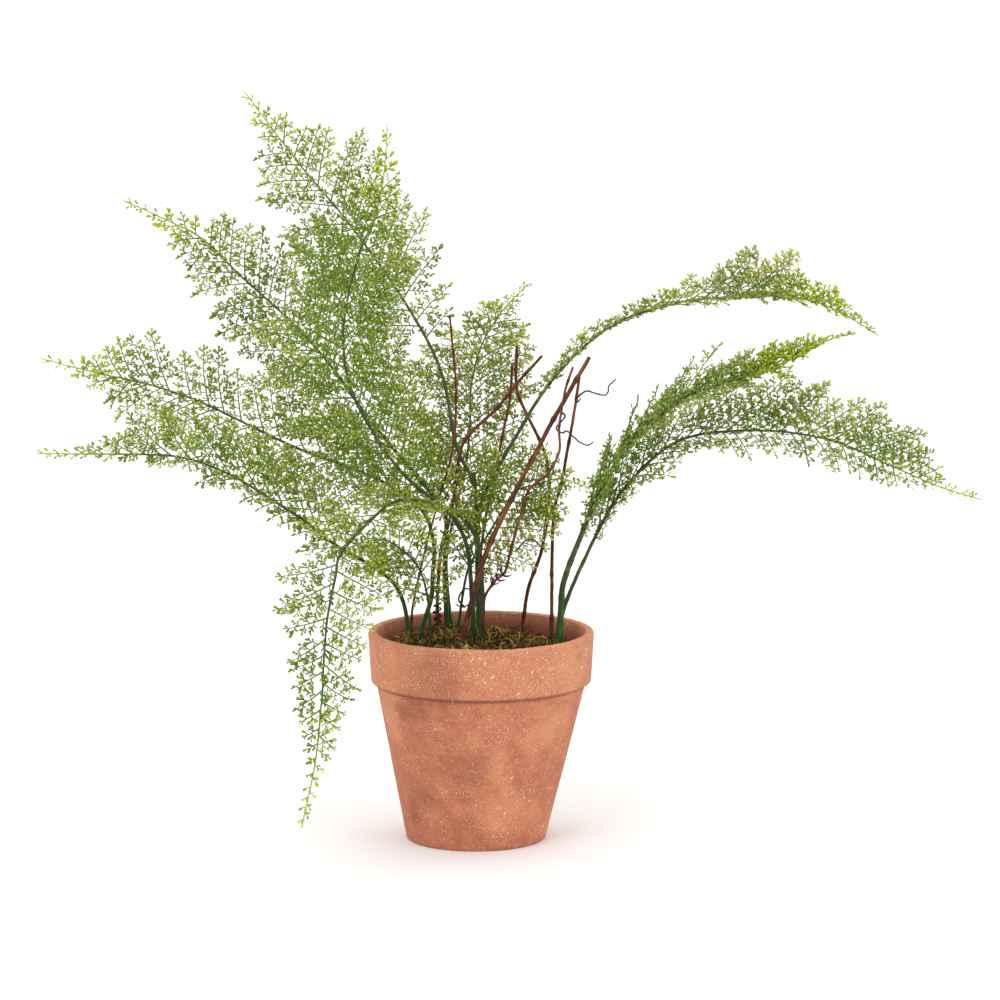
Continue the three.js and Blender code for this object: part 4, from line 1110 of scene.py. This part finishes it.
class FERN_OT_stems(Operator):
    """Make the green stems, forks and all"""
    bl_idname = "fern.stems"
    bl_label = "Green Stems"

    def execute(self, context):
        tree, material = tube_tree(), green_stem()
        for number, (node, names) in enumerate(STEM_PIECES.items()):
            curves, cut = [stem_curve(name) for name in names], 0
            if node == "central_stem":
                cut = 2
                trunk = smooth_curve(planted(TRUNK))
                stub = smooth_curve(placed(STUB))
                curves += [(trunk, tapered(len(trunk), 2.3, 1.9)), (stub, tapered(len(stub), 1.3, 1.3))]
            piece = grown(f"green_{node}", tree, rails(node, curves, cut), Sides=10, Unevenness=0.22,
                          Crookedness=0.8 * MM, Node_Spacing=26 * MM, Node_Swell=0.14,
                          Seed=number, Material=material)
            finish_piece(piece, "green_stems", node)
        return {"FINISHED"}


# Knots: how far along the twig, and how many claws stand out of each.
KNOTS = {
    "twig_hooked": ((0.32, 4), (0.34, 6), (0.36, 6), (0.6, 2)),
    "twig_coiled": ((0.42, 1), (0.78, 1)),
    "twig_thick": ((0.38, 1), (0.7, 1)),
    "twig_back_right": ((0.55, 1), (0.86, 2)),
    "twig_straight": ((0.5, 1), (0.92, 2)),
    "twig_slender": ((0.62, 1), (0.8, 1)),
    "twig_back": ((0.45, 1), (0.9, 1)),
}


def claw_curves(curve, radii, knots, draw):
    """Short curved claws that stand out of a twig at its knots."""
    found = []
    for share, count in knots:
        at = round(share * (len(curve) - 1))
        along = curve[min(at + 1, len(curve) - 1)] - curve[at - 1]
        along /= np.linalg.norm(along)
        for _ in range(count):
            out = draw.normal(size=3)
            out -= along * out.dot(along)
            out /= np.linalg.norm(out)
            long = draw.uniform(4, 9) * MM if count > 2 else draw.uniform(2.5, 5) * MM
            bend = draw.uniform(0.2, 0.9)
            f = np.linspace(0, 1, 6)[:, None]
            points = curve[at] + out * long * f * (1 - 0.35 * f) + along * long * bend * f**2
            found.append((points, np.linspace(0.75, 0.25, 6) * radii[at]))
    return found


class FERN_OT_twigs(Operator):
    """Make the bare brown twigs"""
    bl_idname = "fern.twigs"
    bl_label = "Twigs"

    def execute(self, context):
        tree, material = tube_tree(), twig_bark()
        for number, (node, ((foot, end), route)) in enumerate(TWIGS.items()):
            curve = smooth_curve(planted(route), step_length=1.6 * MM)
            radii = tapered(len(curve), foot, end)
            draw = np.random.default_rng(40 + number)
            curves = [(curve, radii), *claw_curves(curve, radii, KNOTS[node], draw)]
            piece = grown(f"bark_{node}", tree, rails(node, curves), Sides=10, Unevenness=0.4,
                          Crookedness=1.0 * MM, Node_Spacing=31 * MM, Node_Swell=0.3,
                          Seed=20.0 + number, Material=material)
            finish_piece(piece, "twigs", node)
        return {"FINISHED"}


def coil_points():
    """The tendril that is wound round the coiled twig."""
    (foot, end), route = TWIGS["twig_coiled"]
    host = smooth_curve(planted(route), step_length=0.5 * MM)
    radii = tapered(len(host), foot, end)
    heights, found = host[:, 2], []
    for i in range(COIL_TURNS * COIL_STEPS + 1):
        turns = i / COIL_STEPS
        z = MOSS_LEVEL + (COIL_START + turns * COIL_PITCH) * MM
        at = int(np.argmin(abs(heights - z)))
        along = host[at + 1] - host[at - 1]
        along /= np.linalg.norm(along)
        out = np.array([math.cos(turns * 2 * math.pi), math.sin(turns * 2 * math.pi), 0])
        out -= along * out.dot(along)
        out /= np.linalg.norm(out)
        found.append(host[at] + out * (radii[at] + COIL_GAP * MM))
    return np.array(found)


class FERN_OT_tendrils(Operator):
    """Make the thin dry tendrils"""
    bl_idname = "fern.tendrils"
    bl_label = "Tendrils"

    def execute(self, context):
        tree = tube_tree()
        thin, bark = dry_tendril(), twig_bark()
        for number, (node, route) in enumerate(TENDRILS.items()):
            curve = smooth_curve(placed(route), step_length=0.7 * MM)
            piece = grown(f"dry_{node}", tree, rails(node, [(curve, tapered(len(curve), 0.7, 0.45))]),
                          Sides=6, Unevenness=0.3, Crookedness=2.6 * MM, Node_Spacing=7 * MM,
                          Node_Swell=0.25, Seed=60.0 + number, Material=thin)
            finish_piece(piece, "tendrils", node)
        curve = smooth_curve(coil_points(), step_length=0.6 * MM)
        coil = grown("dry_tendril_coil", tree, rails("coil", [(curve, tapered(len(curve), 0.75, 0.5))]),
                     Sides=7, Unevenness=0.9, Crookedness=0.5 * MM, Node_Spacing=3.1 * MM,
                     Node_Swell=0.7, Seed=70.0, Material=bark)
        finish_piece(coil, "tendrils", "tendril_coil")
        return {"FINISHED"}


# ---- Leaves ----
# Half outlines of leaflets of length 1, from the neck to the middle of the tip.
LEAFLETS = {
    "wedge": ((0.11, 0), (0.12, 0.22), (0.19, 0.48), (0.28, 0.76), (0.23, 0.94), (0, 1.0)),
    "cleft": ((0.11, 0), (0.12, 0.2), (0.2, 0.5), (0.33, 0.8), (0.2, 1.02), (0, 0.85)),
    "round": ((0.1, 0), (0.13, 0.24), (0.22, 0.48), (0.26, 0.72), (0.18, 0.93), (0, 0.98)),
    "three": ((0.11, 0), (0.13, 0.22), (0.34, 0.58), (0.24, 0.74), (0.16, 0.82), (0, 1.06)),
}
BANDS = 32
# Pinnules and pinnae are made in lengths that go up in equal steps, in mm.
PINNULE_LENGTHS = (3, 5, 7, 9, 11, 13)
PINNA_LENGTHS = tuple(range(3, 60, 3))
# Pinnae up to this length are one pinnule, with no side branches.
LONGEST_SIMPLE = 9
KINDS = 2
TOP_DOME, FLAT_UNDERSIDE = 0.1, 0.015


def leaflet_object(name, half):
    """A thin leaflet, domed on top, closed underneath, with its reach from neck to tip."""
    outline = [(x, y) for x, y in half] + [(-x, y) for x, y in reversed(half[:-1])]
    points = [(x, y, -0.05 * abs(x) / 0.35) for x, y in outline]
    points += [(0, 0.62, TOP_DOME), (0, 0.6, FLAT_UNDERSIDE)]
    count, top, under = len(outline), len(outline), len(outline) + 1
    faces = []
    for k in range(count):
        m = (k + 1) % count
        faces += [(k, m, top), (m, k, under)]
    return mesh_object(name, points, faces=faces, reach=[p[1] for p in points])


def branch_tree(name, first, angles, **extra):
    """A tree that starts with a bowed stalk along Y and points on it for its parts, the first of them
    a share up the stalk. The parts stand by turns on both sides of it, at angles in degrees that go
    from one to the other, and straight on at the end."""
    tree, given, n = new_tree(name, Length="Float", Gap="Float", Stalk_Radius="Float", Curl="Float",
                              Sweep="Float", Parts="Collection", Seed="Int", Material="Material", **extra)

    def on_stalk(f):
        """Where the stalk is, a share f along it: it bows sideways by the sweep and down by the curl."""
        square = n("multiply", f, f)
        down = n("multiply", n("multiply", square, given["Curl"]), -1.0)
        way = n("combine", n("multiply", square, given["Sweep"]), f, down)
        return n("vector_scale", way, given["Length"])

    f = n("spline")
    line = n("line", (0, 0, 0), (0, 1, 0))
    line = n("resample", line, Count=n("add", n("divide", given["Length"], 5.5 * MM), 3.0))
    line = n("place", line, Position=on_stalk(f))
    thin = n("subtract", 1.0, n("multiply", f, 0.55))
    stalk = n("sweep", line, n("circle", 4, given["Stalk Radius"]), thin, True)
    stalk = n("store", stalk, None, "stalk", 1.0)

    index = n("index")
    last = n("maximum", n("round", n("divide", given["Length"], given["Gap"])), 1.0)
    f = n("range", n("divide", index, last), 0.0, 1.0, first, 1.0)
    points = n("points", n("add", last, 1.0), on_stalk(f))
    at_end = n("greater_than", index, n("subtract", last, 0.5))
    spread = n("range", f, first, 0.95, *(math.radians(angle) for angle in angles))
    spread = n("multiply", spread, n("subtract", 1.0, at_end))
    turn = n("combine", 0.0, 0.0, n("multiply", spread, signs(n, index)))
    return tree, given, n, stalk, f, points, turn


def nearest_part(n, given, long, lengths):
    """Which of the ready parts comes nearest to a length, and what scale makes it right."""
    step = (lengths[1] - lengths[0]) * MM
    nth = n("round", n("divide", n("subtract", long, lengths[0] * MM), step))
    nth = n("clamp", nth, 0.0, float(len(lengths) - 1))
    made = n("add", n("multiply", nth, step), lengths[0] * MM)
    kind = n("random_whole", 0, KINDS - 1, None, given["Seed"])
    return n("add", n("multiply", nth, float(KINDS)), kind), n("divide", long, made)


def signs(n, index):
    """1 and -1 by turns."""
    return n("subtract", 1.0, n("multiply", n("modulo", index, 2.0), 2.0))


def pinnule_tree():
    """A pinnule: leaflets by turns on both sides of a hair-thin stalk, and one at its end."""
    tree, given, n, stalk, _, points, turn = branch_tree("fern_pinnule", 0.28, (54, 34),
                                                         Leaflet_Length="Float")
    stray = n("random_vector", (-0.45, -0.75, -0.22), (0.6, 0.75, 0.22), None, given["Seed"])
    euler = n("vector_add", stray, turn)
    grow = n("random", 0.82, 1.18, None, n("add", given["Seed"], 7.0))
    grow = n("multiply", grow, given["Leaflet Length"])
    pick = n("random_whole", 0, len(LEAFLETS) - 1, None, given["Seed"])
    parts = n("collection", given["Parts"], True, True)
    leaves = n("instances", points, Instance=parts, Pick_Instance=True, Instance_Index=pick,
               Rotation=n("euler", euler), Scale=grow)
    tint = n("random", 0.0, 1.0, None, n("add", given["Seed"], 3.0))
    leaves = n("store_each", leaves, None, "tint", tint)
    return end_tree(tree, joined(tree, stalk, leaves), given["Material"])


def pinna_tree():
    """A pinna: pinnules by turns on both sides of its stalk, shorter towards its end, and one there."""
    first = 0.1
    tree, given, n, stalk, f, points, turn = branch_tree("fern_pinna", first, (68, 42),
                                                         Part_Length="Float")
    # A part turns with the bow of the stalk where it stands.
    lean = n("multiply", n("multiply", f, given["Sweep"]), -2.0)
    dip = n("multiply", n("multiply", f, given["Curl"]), -2.0)
    stray = n("random_vector", (-0.28, -0.3, -0.16), (0.28, 0.3, 0.16), None, given["Seed"])
    bow = n("euler", n("combine", dip, 0.0, lean))
    whole = n("turn_own", bow, n("euler", n("vector_add", stray, turn)))
    long = n("multiply", n("range", f, first, 1.0, 1.0, 0.34), given["Part Length"])
    pick, fit = nearest_part(n, given, long, PINNULE_LENGTHS)
    parts = n("collection", given["Parts"], True, True)
    pinnules = n("instances", points, Instance=parts, Pick_Instance=True, Instance_Index=pick,
                 Rotation=whole, Scale=fit)
    return end_tree(tree, joined(tree, stalk, pinnules), given["Material"])


def frond_tree():
    """A frond: pinnae by turns on both sides of the midrib, as long as the frond is wide there."""
    tree, given, n = new_tree("fern_frond", Start="Float", Gap="Float", First_Angle="Float",
                              Last_Angle="Float", Fold="Float", Left_Pinnae="Collection",
                              Right_Pinnae="Collection", Left_Share="Float", Right_Share="Float",
                              Lime="Float", Wash="Float", Warmth="Float", Leaflet="Float", Seed="Int",
                              Material="Material")
    rib = n("to_curve", given["Geometry"])
    index = n("index")
    leafy = n("multiply", n("GeometryNodeCurveLength", rib), n("subtract", 1.0, given["Start"]))
    count = n("round", n("divide", leafy, given["Gap"]))
    # The pinnae stand closer together towards the tip.
    share = n("divide", index, count)
    left_over = n("power", n("subtract", 1.0, share), 1.3)
    share = n("subtract", 1.0, left_over)
    stray = n("random", -0.35, 0.35, None, given["Seed"])
    stray = n("divide", stray, count)
    along = n("add", share, stray, use_clamp=True)
    along = n("multiply", along, LEAFY_END)
    factor = n("add", n("multiply", along, n("subtract", 1.0, given["Start"])), given["Start"])
    at = n("GeometryNodeSampleCurve", rib, n("read_vector", "face_way"), factor,
           data_type="FLOAT_VECTOR", mode="FACTOR", out=None)
    wide = n("GeometryNodeSampleCurve", rib, n("read", "half_width"), factor, data_type="FLOAT",
             mode="FACTOR")
    tangent, given_face = at.outputs["Tangent"], [s for s in at.outputs if s.enabled][0]
    lean = n("vector_dot_product", given_face, tangent)
    face = n("vector_subtract", given_face, n("vector_scale", tangent, lean))
    face = n("vector_normalize", face)
    side = n("vector_cross_product", tangent, face)

    sign = signs(n, index)
    angle = n("random", -0.14, 0.14, None, n("add", given["Seed"], 1.0))
    spread = n("range", along, 0.0, 1.0, given["First Angle"], given["Last Angle"])
    angle = n("add", angle, spread)
    cos_a = n("cosine", angle)
    sin_a = n("sine", angle)
    cos_f = n("cosine", given["Fold"])
    sin_f = n("sine", given["Fold"])
    signed_cos = n("multiply", cos_f, sign)
    signed_sin = n("multiply", n("multiply", sin_f, sign), -1.0)
    outwards = n("vector_add", n("vector_scale", side, signed_cos), n("vector_scale", face, sin_f))
    way = n("vector_add", n("vector_scale", tangent, cos_a), n("vector_scale", outwards, sin_a))
    normal = n("vector_add", n("vector_scale", face, cos_f), n("vector_scale", side, signed_sin))
    turn = n("axes", normal, way, primary_axis="Z", secondary_axis="Y")
    loose = n("random_vector", (-0.22, -0.3, 0.0), (0.16, 0.3, 0.0), None, n("add", given["Seed"], 2.0))
    turn = n("turn_own", turn, n("euler", loose))

    grow = n("random", 0.86, 1.08, None, n("add", given["Seed"], 4.0))
    on_right = n("greater_than", sign, 0.0)
    grow = n("multiply", grow, n("mix", on_right, given["Left Share"], given["Right Share"]))
    long = n("multiply", n("divide", wide, sin_a), grow)
    long = n("subtract", long, given["Leaflet"])
    pick, fit = nearest_part(n, given, long, PINNA_LENGTHS)
    fit = n("clamp", fit, 0.8, 1.2)
    points = n("points", count, at.outputs["Position"])
    own = n("random", 0.0, 1.0, None, n("add", given["Seed"], 5.0))
    young = n("smooth_range", along, given["Lime"], n("add", given["Lime"], 0.12), 0.0, 1.0)
    for name, value in (("frond_share", along), ("pinna_tint", own), ("young", young)):
        points = n("store", points, None, name, value)
    pinnae = []
    for key, operation in (("Right Pinnae", "GREATER_THAN"), ("Left Pinnae", "LESS_THAN")):
        chosen = n("compare", sign, 0.0, operation=operation)
        parts = n("collection", given[key], True, True)
        pinnae.append(n("instances", points, chosen, parts, True, pick, turn, fit))
    real = n("realize", joined(tree, *pinnae))

    # Each leaflet takes one of BANDS tints. The last band is for stalks.
    tint = n("mix", 0.62, n("read", "tint"), n("read", "pinna_tint"))
    band = n("floor", n("multiply", tint, BANDS - 0.01))
    tint = n("divide", n("add", band, 0.5), float(BANDS))
    # Steps of the golden section spread a number evenly over the points.
    jitter = n("fract", n("multiply", index, 0.618))
    for name, value in (("tint", tint), ("jitter", jitter), ("wash", given["Wash"]),
                        ("warmth", given["Warmth"])):
        real = n("store", real, None, name, value)
    # The UV map OFBake: the share of the frond across, and the tint's band and the reach within it
    # upwards.
    read = {name: n("read", name) for name in ("tint", "jitter", "frond_share", "stalk", "reach")}
    row = n("multiply", read["tint"], float(BANDS))
    row = n("subtract", row, 0.5)
    row = n("mix", read["stalk"], row, float(BANDS))
    inside = n("mix", read["stalk"], read["reach"], read["jitter"])
    inside = n("range", inside, 0.0, 1.05, 0.12, 0.88)
    v = n("divide", n("add", row, inside), BANDS + 1.0)
    u = n("add", n("range", read["frond_share"], 0.0, 1.0, 0.01, 0.98),
          n("multiply", read["jitter"], 0.008))
    real = n("store_map", real, None, "OFBake", n("combine", u, v, 0.0))
    for helper in ("jitter", "pinna_tint"):
        real = n("forget", real, Name=helper)
    return end_tree(tree, real, given["Material"])


def frond_rail(name):
    """A frond's midrib, with the way that its leaves face and how wide it is at each point."""
    frond = {**USUAL, **FRONDS[name]}
    curve, radii = stem_curve(name)
    u = np.linspace(0, 1, len(curve))
    along = np.clip((u - frond["start"]) / (BLADE_END - frond["start"]), 0, 1)
    start, end = (np.array(way, float) for way in frond["faces"])
    faces = start + (end - start) * along[:, None]
    at, shares = zip(*frond["outline"])
    widths = frond["half"] * MM * np.interp(along, at, shares)
    edges = [(i, i + 1) for i in range(len(curve) - 1)]
    return mesh_object(name, curve, edges, face_way=faces, half_width=widths, radius=radii)


class FERN_OT_leaves(Operator):
    """Grow the leaves of every frond"""
    bl_idname = "fern.leaves"
    bl_label = "Leaves"

    def execute(self, context):
        look = context.scene.fern_leaves
        material = fern_leaf()
        leaflets = bpy.data.collections.new("leaflets")
        for name, half in LEAFLETS.items():
            leaflets.objects.link(leaflet_object(f"leaflet_{name}", half))
        tree = pinnule_tree()
        pinnules, made = bpy.data.collections.new("pinnules"), []
        draw = np.random.default_rng(look.seed)

        def pinnule(name, length, leaflet, seed, sweep=0.0):
            """A pinnule of a length in mm, with its leaflets scaled."""
            return grown(name, tree, mesh_object(name, [(0, 0, 0)]), Length=length * MM,
                         Gap=look.leaflet_gap * leaflet, Stalk_Radius=look.stalk * 0.68,
                         Curl=float(draw.uniform(-0.05, 0.18)),
                         Sweep=sweep + float(draw.uniform(-0.12, 0.12)), Parts=leaflets, Seed=seed,
                         Leaflet_Length=look.leaflet * leaflet, Material=material)

        for i, length in enumerate(PINNULE_LENGTHS):
            made += [pinnule(f"pinnule_{i:02d}_{k}", length, 1.0, 10 * i + k) for k in range(KINDS)]
        gather(pinnules, made)

        branch, sides = pinna_tree(), {}
        for side, sign in (("left", 1.0), ("right", -1.0)):
            made = []
            for i, length in enumerate(PINNA_LENGTHS):
                for k in range(KINDS):
                    name, seed = f"pinna_{side}_{i:02d}_{k}", 200 + 20 * i + 2 * k + (sign > 0)
                    if length <= LONGEST_SIMPLE:
                        made.append(pinnule(name, length, 1.1, seed, -0.1 * sign))
                        continue
                    made.append(grown(
                        name, branch, mesh_object(name, [(0, 0, 0)]), Length=length * MM,
                        Gap=look.pinnule_gap, Stalk_Radius=look.stalk,
                        Curl=float(draw.uniform(0.0, 0.2)), Sweep=float(-sign * draw.uniform(0.04, 0.2)),
                        Parts=pinnules, Part_Length=min(look.pinnule, (0.2 * length + 3.0) * MM),
                        Seed=seed, Material=material))
            sides[side] = bpy.data.collections.new(f"pinnae_{side}")
            gather(sides[side], made)

        grow = frond_tree()
        for number, name in enumerate(FRONDS):
            frond = {**USUAL, **FRONDS[name]}
            first, last = (math.radians(angle) for angle in frond["angles"])
            leaves = grown(f"{name}_foliage", grow, frond_rail(name), Start=frond["start"],
                           Gap=look.pinna_gap * frond["gap"], First_Angle=first, Last_Angle=last,
                           Fold=math.radians(frond["fold"]), Left_Pinnae=sides["left"],
                           Right_Pinnae=sides["right"], Right_Share=frond["sides"][0],
                           Left_Share=frond["sides"][1], Lime=frond["lime"], Wash=frond["wash"],
                           Warmth=frond["warmth"], Leaflet=look.leaflet, Seed=500 + 10 * number,
                           Material=material)
            leaves.data.shade_smooth()
            finish_piece(leaves, "leaves", f"{name}_leaves")
        for helpers in (leaflets, pinnules, *sides.values()):
            discard(helpers)
        return {"FINISHED"}


# ---- Stage ----
class FERN_OT_stage(Operator):
    """Set the floor, lights and camera"""
    bl_idname = "fern.stage"
    bl_label = "Stage"

    def execute(self, context):
        scene, look = context.scene, context.scene.fern_stage
        half, depth, bend = 6.0, 5.0, 2.0
        profile = [(-half, 0.0), (depth - bend, 0.0)]
        turns = np.linspace(0, math.pi / 2, 13)[1:]
        profile += [(depth - bend + bend * math.sin(a), bend - bend * math.cos(a)) for a in turns]
        profile.append((depth, half))
        points = [(x, y, z) for y, z in profile for x in (-half, half)]
        faces = [(2 * i, 2 * i + 1, 2 * i + 3, 2 * i + 2) for i in range(len(profile) - 1)]
        floor = mesh_object("stage_floor", points, faces=faces)
        floor.data.shade_smooth()
        scene.collection.objects.link(floor)
        floor.data.materials.append(paper_sweep())

        world = bpy.data.worlds.new("studio")
        world.use_nodes = True
        world.node_tree.nodes["Background"].inputs[0].default_value = (1.0, 1.0, 1.0, 1.0)
        world.node_tree.nodes["Background"].inputs[1].default_value = 0.85
        scene.world = world
        middle = Vector((POT_AXIS.x, POT_AXIS.y, 0.25))
        for name, place, side, power in (("key", (-1.2, -1.9, 1.9), 1.6, 26.0),
                                         ("fill", (1.9, -1.6, 1.1), 1.6, 14.0),
                                         ("top", (0.1, 0.5, 2.4), 1.8, 14.0)):
            light = bpy.data.lights.new(name, "AREA")
            light.shape, light.size, light.energy = "SQUARE", side, power
            lamp = bpy.data.objects.new(name, light)
            lamp.location = middle + Vector(place)
            lamp.rotation_euler = (middle - lamp.location).to_track_quat("-Z", "Y").to_euler()
            scene.collection.objects.link(lamp)

        # A lamp behind the plant washes the sweep, so that it is white right up.
        for side in (-1.5, 1.5):
            light = bpy.data.lights.new("backdrop", "AREA")
            light.shape, light.size, light.energy = "SQUARE", 2.5, 30.0
            lamp = bpy.data.objects.new("backdrop", light)
            lamp.location = (side, 2.0, 3.6)
            aim = Vector((side * 0.5, 5.0, 1.6))
            lamp.rotation_euler = (aim - lamp.location).to_track_quat("-Z", "Y").to_euler()
            scene.collection.objects.link(lamp)

        target = Vector((POT_AXIS.x + look.target_right, POT_AXIS.y, look.target_height))
        camera = bpy.data.cameras.new("camera")
        camera.lens, camera.sensor_width = look.lens, 36.0
        camera.clip_start, camera.clip_end = 0.1, 50.0
        eye = bpy.data.objects.new("camera", camera)
        eye.location = target + Vector((0, -math.cos(look.pitch), math.sin(look.pitch))) * look.distance
        eye.rotation_euler = (target - eye.location).to_track_quat("-Z", "Y").to_euler()
        scene.collection.objects.link(eye)
        scene.camera = eye
        scene.view_settings.view_transform = "Standard"
        return {"FINISHED"}


class FERN_PT_panel(Panel):
    """Lists the pieces in the order they are made"""
    bl_idname = "FERN_PT_panel"
    bl_label = "Potted Fern"
    bl_space_type = "VIEW_3D"
    bl_region_type = "UI"
    bl_category = "Potted Fern"

    def draw(self, context):
        for operator in OPERATORS:
            self.layout.operator(operator.bl_idname)
        for key in SETTINGS:
            group = getattr(context.scene, key)
            box = self.layout.box()
            for name in group.bl_rna.properties.keys():
                if name not in ("rna_type", "name"):
                    box.prop(group, name)


SETTINGS = {
    "fern_pot": FernPotSettings,
    "fern_leaves": FernLeafSettings,
    "fern_wood": FernWoodSettings,
    "fern_stage": FernStageSettings,
}
OPERATORS = (FERN_OT_stage, FERN_OT_pot, FERN_OT_fill, FERN_OT_moss, FERN_OT_stems, FERN_OT_twigs,
             FERN_OT_tendrils, FERN_OT_leaves)


def register():
    for group in (*SETTINGS.values(), *OPERATORS, FERN_PT_panel):
        bpy.utils.register_class(group)
    for key, group in SETTINGS.items():
        setattr(bpy.types.Scene, key, PointerProperty(type=group))


def unregister():
    for key in SETTINGS:
        delattr(bpy.types.Scene, key)
    for group in reversed((*SETTINGS.values(), *OPERATORS, FERN_PT_panel)):
        bpy.utils.unregister_class(group)


def main():
    """Makes every piece."""
    register()
    for operator in OPERATORS:
        area, name = operator.bl_idname.split(".")
        getattr(getattr(bpy.ops, area), name)()


if __name__ == "__main__":
    main()
